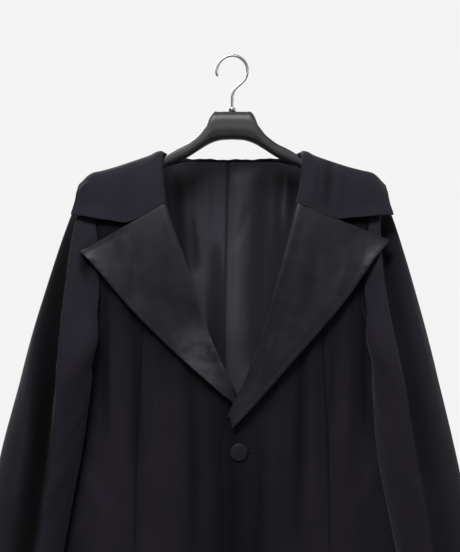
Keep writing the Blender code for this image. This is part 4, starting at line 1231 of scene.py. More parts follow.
def panel_rows():
    """Fine rows that follow the solids' own: along the armhole, the front edge and the side seam."""
    by_step = parts_for(np.array(ARMHOLE_STEPS) * ARMHOLE_STEP_LENGTH, PANEL_SPACING)
    by_edge = parts_for(FRONT_EDGE_DROPS, PANEL_SPACING)
    parts = [max(pair) for pair in zip(by_step, by_edge)]
    below = [UNDERARM, *LOW_DROPS]
    low = cut_finer(below, parts_for(below, PANEL_SPACING * 1.3))[1:]
    return cut_finer(ARMHOLE_STEPS, parts), cut_finer(FRONT_EDGE_DROPS, parts), low


SIDE_SEAM = slice(len(panel_rows()[0]), None)


def front_cloth(hand):
    """A front with its creases, its dart's seam and its edges worked in, and the painted shade of its folds,
    seams and lapels.
    """
    steps, edge, low = panel_rows()
    outer_x, outer_drop = outer_boundary(ARMHOLE_FRONT, steps, low)
    inner_drop = np.concatenate([edge, low])
    inner_x = front_edge(hand, inner_drop)
    dart_x = smooth_table(DART, (inner_drop + outer_drop) / 2)[:, 0]
    beside_dart = DITCH_OFFSETS[-1] * 2
    rows = []
    for inner, dart, outer in zip(inner_x, dart_x, outer_x):
        toward_dart = mix(inner, dart - beside_dart, np.linspace(0, 1, 26) ** 1.15)
        past_dart = mix(dart + beside_dart, outer, 1 - np.linspace(1, 0, 28) ** 1.35)
        rows.append(np.concatenate([toward_dart, dart + np.array(DITCH_OFFSETS), past_dart]))
    columns = (np.array(rows) - inner_x[:, None]) / (outer_x - inner_x)[:, None]
    outer, normals, ring = front_sheet(hand, steps, edge, columns, low)
    x, drop, across, down = measured(outer)
    dart_line = smooth_table(DART, drop)[..., 0]
    in_dart = smooth_step(drop, DART[0][0], DART[0][0] + 0.02) * (1 - smooth_step(drop, 0.64, DART[-1][0]))
    free = smooth_step(drop, 0.50, 0.52)
    height = creases(CREASES[sided("front", hand)], x, drop) * smooth_step(across[:, -1:] - across, 0, 0.012)
    from_side = across[:, -1:] - across
    wavy = smooth_step(drop, 0.20, 0.32) * smooth_step(from_side, 0, 0.02)
    height += waviness(outer, "shell", 1.0 + hand) * wavy
    height += seam_dip(from_side) + seam_dip(down)
    height -= DITCH_DEPTH * in_dart * bell(np.abs(x) - dart_line, DITCH_WIDTH)
    height += edge_pull(across, down, 0.7) * free
    height -= HEM_MARK * bell(HEM - HEM_ALLOWANCE - drop, 0.004)
    height *= np.where(drop < 0.52, smooth_step(across, 0.0, 0.006), 1.0)
    # Painted shade: darker beside the armhole seam, in a broad band under each lapel's outer edge and along
    # the dart's seam, on top of the painted shade of the folds.
    by_armhole = 1 - smooth_step(drop, UNDERARM - 0.03, UNDERARM)
    shade_beside_sleeve = SEAM_SHADE * bell(from_side, SEAM_SHADE_WIDTH) * by_armhole
    edge = np.array(LAPEL_EDGE_LEFT if hand > 0 else LAPEL_EDGE_RIGHT)
    from_lapel = np.abs(x) - np.interp(drop, edge[:, 2], edge[:, 1] * np.sign(edge[:, 1]))
    shade_under_lapel = LAPEL_SHADE * np.exp(-np.maximum(from_lapel, 0) / LAPEL_SHADE_REACH)
    open_cloth = (1 - hollows(height)) * (1 - shade_beside_sleeve) * (1 - shade_under_lapel)
    open_cloth *= 1 - DART_SHADE * in_dart * bell(np.abs(x) - dart_line, DART_SHADE_WIDTH)
    return raised((outer, normals, ring), height), 1 - open_cloth


def back_cloth():
    """The back with its creases and its centre seam worked in."""
    steps, _, low = panel_rows()
    width = BODY[4][1]
    beside_seam = [side / width for side in DITCH_OFFSETS if side >= 0]
    columns = np.concatenate([beside_seam, cut_finer(BACK_COLUMNS, parts_for(BACK_COLUMNS, 0.016))[1:]])
    outer, normals, ring = back_sheet(steps, np.unique(np.round(columns, 6)), low)
    x, drop, across, down = measured(outer)
    from_side = np.minimum(across, across[:, -1:] - across)
    height = creases(CREASES["back"], x, drop) * smooth_step(from_side, 0, 0.015)
    height += waviness(outer, "shell", 5.0) * smooth_step(drop, 0.27, 0.36) * smooth_step(from_side, 0, 0.02)
    height += seam_dip(from_side) + seam_dip(down) * (np.abs(x) > NECK_POINT[0])
    height -= DITCH_DEPTH * bell(x, DITCH_WIDTH) * smooth_step(down, 0.0, 0.01)
    height -= HEM_MARK * bell(HEM - HEM_ALLOWANCE - drop, 0.004)
    # The painted shade of its folds goes with it, for the finish to darken the colour by.
    return raised((outer, normals, ring), height), hollows(height)


def sleeve_fold(hand, outer, normals):
    """The long fold down a sleeve's front: a soft ridge, then a steep drop that eases back outwards."""
    table = SLEEVE_FOLD_LEFT if hand > 0 else SLEEVE_FOLD_RIGHT
    line, depth = columns_of(smooth_table(table, -outer[..., 2]))
    aside = outer[..., 0] * hand - line
    fall = smooth_step(aside, -0.001, FOLD_FALL) * (1 - smooth_step(aside, FOLD_BACK_FROM, FOLD_BACK_TO))
    facing = smooth_step(-normals[..., 1], 0.10, 0.60)
    return (FOLD_RISE * bell(aside + FOLD_RISE_WIDTH / 2, FOLD_RISE_WIDTH) - depth * fall) * facing


def dimple(hand, outer):
    """The hollow in the front of the sleeve's head where the point of the lapel hangs over it."""
    x, drop, reach_across, reach_down, depth = SLEEVE_DIMPLE_LEFT if hand > 0 else SLEEVE_DIMPLE_RIGHT
    in_front = smooth_step(-outer[..., 1], 0.01, 0.03)
    aside, below = outer[..., 0] * hand - x, -outer[..., 2] - drop
    return depth * bell(aside, reach_across) * bell(below, reach_down) * in_front


def sleeve_cloth(hand):
    """A sleeve with its folds, its two long seams and the fullness eased into its head."""
    name = sided("sleeve", hand)
    outer, normals, ring = refine(sleeve_sheet(hand), SLEEVE_SPACING, SLEEVE_SEAM_TURNS)
    drop = -outer[..., 2]
    closed = np.concatenate([outer, outer[:, :1]], axis=1)
    around, down = run_lengths(closed, 1), run_lengths(outer, 0)
    turn = around[:, :-1] / around[:, -1:]
    table = [(a * SLEEVE_AROUND, b, c * SLEEVE_AROUND, *rest) for a, b, c, *rest in SLEEVE_CREASES[name]]
    height = creases(table, turn * SLEEVE_AROUND, drop) * smooth_step(down, 0.01, 0.06)
    height += waviness(outer, "shell", 9.0 + hand) * smooth_step(down, 0.01, 0.08)
    height += sleeve_fold(hand, outer, normals) * smooth_step(down, 0.004, 0.04)
    upper = smooth_step(np.cos(turn * 2 * math.pi), 0.1, 0.8)
    height += 0.0004 * upper * np.cos(turn * SLEEVE_AROUND * 2 * math.pi / 0.013) * bell(down - 0.010, 0.008)
    height += seam_dip(down)
    for seam in SLEEVE_SEAM_TURNS:
        in_ditch = bell((turn - seam) * around[:, -1:], DITCH_WIDTH)
        height -= DITCH_DEPTH * in_ditch * smooth_step(down, 0, 0.01)
    height -= HEM_MARK * bell(CUFF - CUFF_ALLOWANCE - drop, 0.004)
    height -= dimple(hand, outer)
    # Painted shade of the folds, deeper on the right sleeve than on the left.
    return raised((outer, normals, ring), height), turn, hollows(height * SLEEVE_SHADE[name])


def collar_cloth(coarse):
    """The collar with its soft folds and its pressed edge."""
    outer, normals, ring = refine(coarse, COLLAR_SPACING)
    x, drop, across, along = measured(outer)
    from_edge = across[:, -1:] - across
    in_front = smooth_step(-outer[..., 1], 0.01, 0.03)
    height = creases(CREASES["collar"], x, drop) * in_front
    height += waviness(outer, "collar", 12.0) * smooth_step(across, 0.01, 0.03)
    height += edge_pull(from_edge, along, 0.35)
    from_front = np.minimum(along, along[-1:] - along)
    height += COLLAR_FRONT_LIFT * bell(from_front, 0.010) * smooth_step(across, 0.055, 0.085)
    at_back = smooth_step(outer[..., 1], 0.0, 0.02) * (1 - smooth_step(across, 0.006, 0.014))
    wave = np.sin(x * 2 * math.pi / NECK_WAVE_LONG + 0.6) + 0.6 * np.sin(x * 2 * math.pi / NECK_WAVE_SHORT)
    height += NECK_WAVE * at_back * wave
    # The painted shade of its folds goes with it, for the finish to darken the colour by.
    return raised((outer, normals, ring), height), hollows(height)


def lapel_cloth(hand, coarse):
    """A lapel with its soft creases, and the puckers of the stitches beside its edges."""
    outer, normals, ring = refine(coarse, LAPEL_SPACING)
    x, drop, across, down = measured(outer)
    from_edge = across[:, -1:] - across
    notch_x = (NOTCH_LEFT if hand > 0 else NOTCH_RIGHT)[0]
    past_notch = smooth_step(np.abs(x), notch_x - 0.004, notch_x + 0.004)
    off_roll = smooth_step(across, 0.008, 0.030)
    height = creases(CREASES[sided("lapel", hand)], x, drop) * off_roll
    height += waviness(outer, "satin", 15.0 + hand) * off_roll
    wide = smooth_step(across[:, -1:], 0.012, 0.030)
    height += LAPEL_EDGE_LIFT * bell(from_edge, 0.028) * wide * smooth_step(down, 0.0, 0.05)
    height += edge_pull(from_edge, down) * wide
    height += edge_pull(down, across, 0.8) * mix(0.5, 1.0, past_notch) * off_roll
    height += seam_dip(down) * (1 - past_notch)
    # Painted shade: a dark line along the gorge seam below the collar, and the painted shade of the folds.
    gorge = GORGE_SHADE * bell(down, GORGE_SHADE_WIDTH) * (1 - past_notch)
    return raised((outer, normals, ring), height), np.maximum(hollows(height), gorge)


def lining_cloth(hand):
    """Half of the back lining: soft vertical folds, the pressed fold where the halves meet, and painted
    shade in its folds, along that fold and below its top.
    """
    outer, normals, ring = lining_sheet(hand, 64, 120)
    x, drop, across, down = measured(outer)
    from_side = across[:, -1:] - across
    inward = smooth_step(from_side, 0.0, 0.02) * smooth_step(down, 0.004, 0.03)
    folds = creases(CREASES[sided("lining", hand)], x, drop)
    folds += waviness(outer, "lining", 20.0 + hand)
    height = -np.maximum(folds + 0.0012, -0.0006) * inward * smooth_step(across, 0.0, 0.010)
    # Painted shade: darker from a little below the top, in the folds and along the seam where the halves
    # meet.
    open_cloth = 1 - LINING_LOW_SHADE * smooth_step(down, 0.0, LINING_LOW_SHADE_FROM)
    open_cloth *= 1 - hollows(folds * inward * LINING_SHADE)
    open_cloth *= 1 - LINING_SEAM_SHADE * bell(across, LINING_SEAM_WIDTH)
    return raised((outer, normals, ring), height), 1 - open_cloth


def with_allowance(sheet):
    """A sleeve with its seam allowance turned under the body's panels all round the armhole."""
    outer, normals, ring = sheet
    seam = outer[0]
    facing = np.where(seam[:, 1] < middle_y(seam[:, 0]), -1, 1)
    panel = [body_normal(p[:1], -p[2:], side)[0] for p, side in zip(seam, facing)]
    panel = np.array(panel)
    along = np.roll(seam, -1, axis=0) - np.roll(seam, 1, axis=0)
    under = unit(np.cross(along, panel))
    under *= np.sign((under * (seam - seam.mean(axis=0))).sum(axis=-1, keepdims=True))
    rows = [seam - panel * depth + under * reach for depth, reach in reversed(ALLOWANCE)]
    return np.concatenate([rows, outer]), np.concatenate([[normals[0]] * len(rows), normals]), ring


def beside_edge(sheet, inset):
    """Points and normals of a line that runs beside the first column of a sheet."""
    outer, normals = sheet[:2]
    across = run_lengths(outer, 1)
    both = np.concatenate([outer, normals], axis=-1)
    wide = [r for r in range(len(outer)) if across[r, -1] > 2 * inset]
    line = [[np.interp(inset, across[r], both[r, :, k]) for k in range(6)] for r in wide]
    return np.array(line)


def stitch_row(made, sheet, inset, skip=0.008):
    """Adds a row of small stitches beside the first column of a sheet, half sunk into the cloth."""
    line = beside_edge(sheet, inset)
    lengths = np.concatenate([[0], np.cumsum(np.linalg.norm(np.diff(line[:, :3], axis=0), axis=1))])
    for middle in np.arange(skip, lengths[-1] - skip, PICK_PITCH):
        at = middle + PICK_LENGTH * np.array([-0.5, -0.35, 0.0, 0.35, 0.5])
        path = np.stack([np.interp(at, lengths, line[:, k]) for k in range(6)], axis=-1)
        along = unit(path[-1, :3] - path[0, :3])
        up = unit(path[:, 3:])
        side = unit(np.cross(along, up))
        turn = np.linspace(0, 2 * math.pi, 7)[:-1]
        radius = THREAD_RADIUS * np.array([0.05, 0.8, 1.0, 0.8, 0.05])[:, None, None]
        centre = path[:, :3] + up * THREAD_RADIUS * np.array([-1.2, 0.2, 0.6, 0.2, -1.2])[:, None]
        circle = np.cos(turn)[None, :, None] * side[:, None] + np.sin(turn)[None, :, None] * up[:, None]
        made.grid(centre[:, None] + radius * circle, closed=True)


def stitches(name, rows, finish):
    """One piece of all the rows of stitches on a sheet."""
    made = Builder(name, finish)
    for sheet, inset in rows:
        stitch_row(made, sheet, inset)
    return dress(made.finish())


def from_last(sheet):
    """The same sheet seen from its last column."""
    return sheet[0][:, ::-1], sheet[1][:, ::-1], False


def from_top(sheet):
    """The same sheet seen from its first row."""
    return sheet[0].transpose(1, 0, 2), sheet[1].transpose(1, 0, 2), False


def wall_mesh(name, sheet, hollow, thickness, finish, rim=NO_RIM, cloth_uv=None, sewn=()):
    """A closed wall from a sheet inwards. rim rounds its top, bottom, first and last edges outwards.

    hollow tells how much painted shade each point gets, from folds, seams and lapels. sewn names the edges,
    as slices of the sheet, whose allowance is turned in.
    """
    outer, normals, ring = sheet
    inner = outer - normals * thickness
    for edge in sewn:
        inner[edge] -= normals[edge] * ALLOWANCE_TURN
    made = Builder(name, finish)
    made.grid(outer, ring, cloth_uv, hollow=hollow)
    made.grid(inner, ring, cloth_uv, flip=True, hollow=hollow)
    down = unit(np.gradient(outer, axis=0))
    sides = [(outer[0], inner[0], -down[0], rim[0], hollow[0])]
    sides.append((outer[-1], inner[-1], down[-1], rim[1], hollow[-1]))
    if not ring:
        over = unit(np.gradient(outer, axis=1))
        sides.append((outer[:, 0], inner[:, 0], -over[:, 0], rim[2], hollow[:, 0]))
        sides.append((outer[:, -1], inner[:, -1], over[:, -1], rim[3], hollow[:, -1]))
    for top, bottom, outward, bulge, shade in sides:
        steps = []
        for turn in np.linspace(0, math.pi, RIM_STEPS):
            middle = mix(top, bottom, (1 - math.cos(turn)) / 2)
            steps.append(middle + outward * bulge * math.sin(turn))
        made.grid(np.array(steps), closed=ring, hollow=np.tile(shade, len(steps)))
    return made.finish()


class Builder:
    """Gathers grids of points into one mesh, with a map of the cloth's threads in metres."""

    def __init__(self, name, finish):
        self.name, self.finish_with = name, finish
        self.points, self.faces, self.uvs, self.hollows = [], [], [], []

    def grid(self, points, ring=False, uv=None, flip=False, closed=False, hollow=None):
        rows, cols = points.shape[:2]
        start = sum(len(part) for part in self.points)
        self.points.append(points.reshape(-1, 3))
        if uv is None:
            uv = np.stack([points[..., 0] + points[..., 1], points[..., 2]], axis=-1)
        self.uvs.append(uv.reshape(-1, 2))
        self.hollows.append(np.zeros(rows * cols) if hollow is None else hollow.ravel())
        around = ring or closed
        for r in range(rows - 1):
            for c in range(cols if around else cols - 1):
                a, b = start + r * cols + c, start + r * cols + (c + 1) % cols
                face = (a, b, b + cols, a + cols)
                self.faces.append(face[::-1] if flip else face)

    def finish(self):
        mesh = bpy.data.meshes.new(self.name)
        points, uvs = np.concatenate(self.points), np.concatenate(self.uvs)
        mesh.from_pydata(points.tolist(), [], self.faces)
        layer = mesh.uv_layers.new(name="threads")
        corners = np.zeros(len(mesh.loops), int)
        mesh.loops.foreach_get("vertex_index", corners)
        layer.data.foreach_set("uv", uvs[corners].ravel())
        # Each point's painted shade, by which its finish darkens the colour.
        folds = mesh.attributes.new("hollow", "FLOAT", "POINT")
        folds.data.foreach_set("value", np.concatenate(self.hollows))
        joined = bmesh.new()
        joined.from_mesh(mesh)
        bmesh.ops.remove_doubles(joined, verts=joined.verts, dist=WELD)
        bmesh.ops.recalc_face_normals(joined, faces=joined.faces)
        joined.to_mesh(mesh)
        joined.free()
        mesh.shade_smooth()
        mesh.set_sharp_from_angle(angle=math.radians(60))
        mesh.materials.append(self.finish_with)
        obj = bpy.data.objects.new(self.name, mesh)
        bpy.context.scene.collection.objects.link(obj)
        return obj


class Signal:
    """A socket that takes part in arithmetic: an operator on it adds a Math node."""

    def __init__(self, shader, socket):
        self.shader, self.socket = shader, socket

    def math(self, operation, *others):
        values = {i: value for i, value in enumerate(others, start=1)}
        return self.shader.node("ShaderNodeMath", {"operation": operation}, {0: self, **values})

    def turned(self, operation, other):
        return self.shader.node("ShaderNodeMath", {"operation": operation}, {0: other, 1: self})

    def __add__(self, other):
        return self.math("ADD", other)

    __radd__ = __add__

    def __sub__(self, other):
        return self.math("SUBTRACT", other)

    def __rsub__(self, other):
        return self.turned("SUBTRACT", other)

    def __mul__(self, other):
        return self.math("MULTIPLY", other)

    __rmul__ = __mul__

    def sine(self):
        return self.math("SINE")

    def ramp(self, low, high):
        """0 below low and 1 above high, smooth between them."""
        settings = {"interpolation_type": "SMOOTHSTEP", "clamp": True}
        sockets = {"Value": self, "From Min": low, "From Max": high}
        return self.shader.node("ShaderNodeMapRange", settings, sockets)


class Nodes:
    """A node tree and the one way in which nodes are added to it."""

    def __init__(self, owner, surface):
        owner.use_nodes = True
        self.tree = owner.node_tree
        self.surface = self.tree.nodes[surface]

    def node(self, kind, settings=None, sockets=None, output=0):
        """Adds a node: its settings first, then the values or links of its sockets."""
        made = self.tree.nodes.new(kind)
        for name, value in (settings or {}).items():
            setattr(made, name, value)
        for name, value in (sockets or {}).items():
            if isinstance(value, Signal):
                self.tree.links.new(value.socket, made.inputs[name])
            else:
                made.inputs[name].default_value = value
        return Signal(self, made.outputs[output])

    def part(self, vector, index):
        return self.node("ShaderNodeSeparateXYZ", {}, {0: vector}, output=index)


class Finish(Nodes):
    """A material of the jacket, of its hanger or of the stage."""

    def __init__(self, name, **constants):
        self.material = bpy.data.materials.new(name)
        super().__init__(self.material, "Principled BSDF")
        for socket, value in constants.items():
            self.surface.inputs[socket.replace("_", " ")].default_value = value

    def feed(self, **sockets):
        for name, value in sockets.items():
            self.tree.links.new(value.socket, self.surface.inputs[name.replace("_", " ")])

    def threads(self):
        """Where a point lies on the cloth, across and along its threads, in metres."""
        uv = self.node("ShaderNodeUVMap", {"uv_map": "threads"})
        return uv, self.part(uv, 0), self.part(uv, 1)

    def place(self):
        return self.node("ShaderNodeTexCoord", output=3)

    def folds(self):
        """How much painted shade a point gets, from its folds, seams and lapels, as its mesh says."""
        return self.node("ShaderNodeAttribute", {"attribute_name": "hollow"}, output=2)

    def stretched(self, vector, scale):
        return self.node("ShaderNodeVectorMath", {"operation": "MULTIPLY"}, {0: vector, 1: scale})

    def distance_to(self, point):
        sockets = {0: self.place(), 1: point}
        return self.node("ShaderNodeVectorMath", {"operation": "DISTANCE"}, sockets, output=1)

    def cloud(self, vector, scale, detail=3.0, roughness=0.55):
        sockets = {"Vector": vector, "Scale": scale, "Detail": detail, "Roughness": roughness}
        return self.node("ShaderNodeTexNoise", {}, sockets)

    def blend(self, factor, first, second):
        sockets = {0: factor, 6: first, 7: second}
        return self.node("ShaderNodeMix", {"data_type": "RGBA"}, sockets, output=2)

    def bump(self, height, distance, strength):
        sockets = {"Height": height, "Distance": distance, "Strength": strength}
        return self.node("ShaderNodeBump", {}, sockets)


def opaque(colour):
    return (*colour, 1.0)


def shaded(colour, part):
    return opaque([min(1.0, channel * part) for channel in colour])


def suiting(settings):
    """Matte twill: fine slanting ribs, a little nap, faintly uneven dye and painted shade from its mesh."""
    cloth = Finish("suiting", Sheen_Weight=0.04, Sheen_Roughness=0.45, Specular_IOR_Level=0.07)
    colour = settings.shell_colour
    uv, across, along = cloth.threads()
    pitch = settings.twill_pitch
    rib = ((across + along) * (2 * math.pi / pitch)).sine() * 0.5 + 0.5
    yarn = (across * (2 * math.pi / (pitch * 0.62))).sine() * 0.5 + 0.5
    nap = cloth.cloud(cloth.place(), 900.0, 4.0, 0.7)
    dye = cloth.cloud(cloth.stretched(cloth.place(), (1.0, 1.0, 0.45)), 22.0)
    fluff = cloth.cloud(cloth.place(), 260.0, 2.0).ramp(0.62, 0.78)
    toned = cloth.blend(dye.ramp(0.35, 0.70), shaded(colour, 0.86), shaded(colour, 1.16))
    ribbed = cloth.blend(rib * 0.45 + nap * 0.35, toned, shaded(colour, 1.5))
    napped = cloth.blend(fluff * 0.30, ribbed, shaded(colour, 2.0))
    # Painted shade: the colour goes near black where the mesh marks folds, seams and the shade under the
    # lapels.
    deep = cloth.folds()
    cloth.feed(Base_Color=cloth.blend(deep, napped, shaded(colour, 0.10)))
    cloth.feed(Roughness=0.80 + nap * 0.12 + deep * 0.08)
    height = rib * 0.6 + yarn * 0.2 + nap * 0.5
    cloth.feed(Normal=cloth.bump(height, 0.00010, 0.55))
    return cloth.material


def sateen(settings):
    """Satin-faced cloth of the lapels: long floats that catch the light, with painted sheen in streaks along
    them, soft uneven patches, a painted highlight near the break of the right lapel and painted shade from
    its mesh.
    """
    cloth = Finish("sateen", Sheen_Weight=0.03, Sheen_Roughness=0.35, Specular_IOR_Level=0.15)
    colour = settings.satin_colour
    uv, across, along = cloth.threads()
    pitch = settings.twill_pitch * 0.6
    float_line = (across * (2 * math.pi / pitch)).sine() * 0.5 + 0.5
    streak = cloth.cloud(cloth.stretched(uv, (1.0, 0.10, 1.0)), 420.0, 3.0)
    patch = cloth.cloud(cloth.place(), 38.0, 4.0)
    grain = cloth.cloud(cloth.place(), 700.0, 3.0, 0.7)
    tone = cloth.blend(patch.ramp(0.35, 0.72), shaded(colour, 0.72), shaded(colour, 1.45))
    # Partly the yarn's own unevenness, partly painted sheen: streaks along the floats are painted lighter.
    floats = cloth.blend(streak * 0.35 + grain * 0.20, tone, shaded(colour, 1.6))
    # Painted highlight: a pale, patchy spot near the break of the right lapel.
    painted_highlight = 1.0 - cloth.distance_to(settings.rubbed_place).ramp(0.006, 0.060)
    toned = cloth.blend(painted_highlight * patch.ramp(0.25, 0.60), floats, opaque(settings.rubbed_colour))
    # Painted shade: near black where the mesh marks folds and the gorge seam.
    cloth.feed(Base_Color=cloth.blend(cloth.folds(), toned, shaded(colour, 0.15)))
    cloth.feed(Roughness=0.40 + patch * 0.10 + streak * 0.10)
    cloth.feed(Normal=cloth.bump(float_line * 0.35 + streak * 0.5 + grain * 0.35, 0.00008, 0.45))
    return cloth.material


def satin_lining(settings):
    """Thin shiny lining with fine upright threads and painted shade from its mesh."""
    cloth = Finish("satin_lining", Sheen_Weight=0.05, Specular_IOR_Level=0.22)
    colour = settings.lining_colour
    uv, across, along = cloth.threads()
    pitch = settings.twill_pitch * 0.45
    thread = (across * (2 * math.pi / pitch)).sine() * 0.5 + 0.5
    slub = cloth.cloud(cloth.stretched(uv, (1.0, 0.04, 1.0)), 300.0, 3.0)
    patch = cloth.cloud(cloth.stretched(cloth.place(), (1.0, 1.0, 0.3)), 30.0)
    tone = cloth.blend(patch.ramp(0.35, 0.70), shaded(colour, 0.85), shaded(colour, 1.15))
    silky = cloth.blend(slub * 0.4, tone, shaded(colour, 1.35))
    # Painted shade: near black where the mesh marks folds, the middle seam and the lining below its top.
    cloth.feed(Base_Color=cloth.blend(cloth.folds(), silky, shaded(colour, 0.15)))
    cloth.feed(Roughness=0.30 + slub * 0.12 + patch * 0.06)
    cloth.feed(Normal=cloth.bump(thread * 0.4 + slub * 0.6, 0.00006, 0.5))
    return cloth.material


def moulded_plastic(settings):
    """The hanger's black plastic: a fine spark-eroded grain, with thin grey scuffs scattered over it."""
    plastic = Finish("moulded_plastic", Specular_IOR_Level=0.42)
    colour = settings.plastic_colour
    grain = plastic.cloud(plastic.place(), 1400.0, 2.0)
    haze = plastic.cloud(plastic.place(), 60.0, 4.0)
    scratch = plastic.cloud(plastic.stretched(plastic.place(), (1.0, 6.0, 14.0)), 90.0, 2.0).ramp(0.66, 0.72)
    tone = plastic.blend(haze.ramp(0.3, 0.7), shaded(colour, 0.85), shaded(colour, 1.2))
    plastic.feed(Base_Color=plastic.blend(scratch * 0.25, tone, shaded(colour, 2.2)))
    plastic.feed(Roughness=0.42 + grain * 0.10 + haze * 0.08)
    plastic.feed(Normal=plastic.bump(grain + haze * 0.3, 0.00008, 0.35))
    return plastic.material


def drawn_steel(settings):
    """Plated wire with fine drawing marks along it and a few dull spots."""
    steel = Finish("drawn_steel", Metallic=1.0)
    colour = settings.steel_colour
    marks = steel.cloud(steel.stretched(steel.place(), (3.0, 3.0, 0.5)), 700.0, 3.0)
    spots = steel.cloud(steel.place(), 240.0, 3.0).ramp(0.60, 0.72)
    steel.feed(Base_Color=steel.blend(spots * 0.5, opaque(colour), shaded(colour, 0.6)))
    steel.feed(Roughness=0.26 + marks * 0.10 + spots * 0.16)
    steel.feed(Normal=steel.bump(marks, 0.00003, 0.12))
    return steel.material


def sewing_thread(settings):
    """Twisted black thread, a touch glossier than the cloth that it sinks into."""
    thread = Finish("sewing_thread", Sheen_Weight=0.1, Specular_IOR_Level=0.4)
    colour = settings.satin_colour
    twist = thread.cloud(thread.place(), 2200.0, 2.0)
    thread.feed(Base_Color=thread.blend(twist, shaded(colour, 0.9), shaded(colour, 2.0)))
    thread.feed(Roughness=0.45 + twist * 0.2)
    thread.feed(Normal=thread.bump(twist, 0.00005, 0.5))
    return thread.material


def studio_floor(settings):
    """A smooth pale floor with a barely uneven finish."""
    floor = Finish("studio_floor", Specular_IOR_Level=0.3)
    shade = floor.cloud(floor.place(), 1.6, 4.0)
    colour = settings.floor_colour
    floor.feed(Base_Color=floor.blend(shade, shaded(colour, 0.96), shaded(colour, 1.02)))
    floor.feed(Roughness=0.6 + shade * 0.15)
    return floor.material


def finish_of(make, settings):
    """A finish is made once and shared by the pieces that have it."""
    return bpy.data.materials.get(make.__name__) or make(settings)


class JacketSettings(bpy.types.PropertyGroup):
    """The sizes and colours of the cloth that a user may change."""

    shell_colour: bpy.props.FloatVectorProperty(
        name="Shell colour",
        description="Colour of the matte outer cloth",
        default=(0.0092, 0.0080, 0.0116),
        size=3,
        subtype="COLOR",
    )
    satin_colour: bpy.props.FloatVectorProperty(
        name="Satin colour",
        description="Colour of the lapels' satin facing and of the covered button",
        default=(0.0070, 0.0062, 0.0088),
        size=3,
        subtype="COLOR",
    )
    rubbed_place: bpy.props.FloatVectorProperty(
        name="Highlight place",
        description="Middle of the painted highlight near the break of the right lapel",
        default=(-0.035, -0.066, -0.404),
        size=3,
        subtype="TRANSLATION",
        unit="LENGTH",
    )
    rubbed_colour: bpy.props.FloatVectorProperty(
        name="Highlight colour",
        description="Colour of the painted highlight on the satin",
        default=(0.042, 0.040, 0.044),
        size=3,
        subtype="COLOR",
    )
    lining_colour: bpy.props.FloatVectorProperty(
        name="Lining colour",
        description="Colour of the back lining",
        default=(0.0430, 0.0410, 0.0530),
        size=3,
        subtype="COLOR",
    )
    twill_pitch: bpy.props.FloatProperty(
        name="Twill pitch",
        description="Distance from one slanting rib of the outer cloth to the next",
        default=0.0009,
        unit="LENGTH",
    )


class HangerSettings(bpy.types.PropertyGroup):
    """The finishes of the hanger."""

    plastic_colour: bpy.props.FloatVectorProperty(
        name="Plastic colour",
        description="Colour of the hanger's moulded arms",
        default=(0.014, 0.014, 0.016),
        size=3,
        subtype="COLOR",
    )
    steel_colour: bpy.props.FloatVectorProperty(
        name="Hook colour",
        description="Colour of the plated wire hook",
        default=(0.36, 0.36, 0.38),
        size=3,
        subtype="COLOR",
    )


class StageSettings(bpy.types.PropertyGroup):
    """The floor, the light and the camera."""

    floor_colour: bpy.props.FloatVectorProperty(
        name="Floor colour",
        description="Colour of the pale studio floor",
        default=(0.86, 0.86, 0.86),
        size=3,
        subtype="COLOR",
    )
    floor_drop: bpy.props.FloatProperty(
        name="Floor drop",
        description="Distance from the hook down to the floor",
        default=1.60,
        unit="LENGTH",
    )
    background: bpy.props.FloatProperty(
        name="Background",
        description="Brightness of the pale surroundings",
        default=0.90,
    )
    key_power: bpy.props.FloatProperty(
        name="Key light",
        description="Power of the large soft light in front, in watts",
        default=45.0,
    )
    camera_distance: bpy.props.FloatProperty(
        name="Camera distance",
        description="Distance from the camera to the middle of the hanger",
        default=1.20,
        unit="LENGTH",
    )
    camera_drop: bpy.props.FloatProperty(
        name="Camera drop",
        description="Distance of the camera below the hook's inner top",
        default=0.300,
        unit="LENGTH",
    )
    lens: bpy.props.FloatProperty(
        name="Lens",
        description="Focal length of the camera, in millimetres on a 36 mm frame",
        default=57.13,
    )


def dress(obj, node=None):
    """Fixes a finished piece to the body, in the place of its solid where it has one."""
    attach(obj, "root")
    if node:
        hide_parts(node)
    return obj


def cloth_piece(node, slot, finish, sheet, hollow, wall, **edges):
    """The cloth of a node, in the place of its solid."""
    return dress(wall_mesh(node + "_cloth", sheet, hollow, wall, finish, **edges), node)


def coarse_sheets():
    """The sheets of the solids, which the collar and lapels lie on."""
    return {
        "front_left": front_sheet(1),
        "front_right": front_sheet(-1),
        "back": back_sheet(),
        "sleeve_left": sleeve_sheet(1),
        "sleeve_right": sleeve_sheet(-1),
    }


class JACKET_OT_fronts(bpy.types.Operator):
    """Builds both fronts, with darts, creases and pressed edges"""

    bl_idname = "jacket.fronts"
    bl_label = "Fronts"

    def execute(self, context):
        finish = finish_of(suiting, context.scene.jacket)
        edges = {"rim": HEM_RIM, "sewn": [TOP_EDGE, (SIDE_SEAM, -1)]}
        for hand in (1, -1):
            node = sided("front", hand)
            piece = cloth_piece(node, "shell", finish, *front_cloth(hand), SHELL, **edges)
        return {"FINISHED"}


class JACKET_OT_back(bpy.types.Operator):
    """Builds the back, with its centre seam and soft folds"""

    bl_idname = "jacket.back"
    bl_label = "Back"

    def execute(self, context):
        finish = finish_of(suiting, context.scene.jacket)
        sheet, hollow = back_cloth()
        sewn = [(SIDE_SEAM, 0), (SIDE_SEAM, -1), (0, np.abs(sheet[0][0, :, 0]) > NECK_POINT[0])]
        piece = cloth_piece("back", "shell", finish, sheet, hollow, SHELL, rim=HEM_RIM, sewn=sewn)
        return {"FINISHED"}


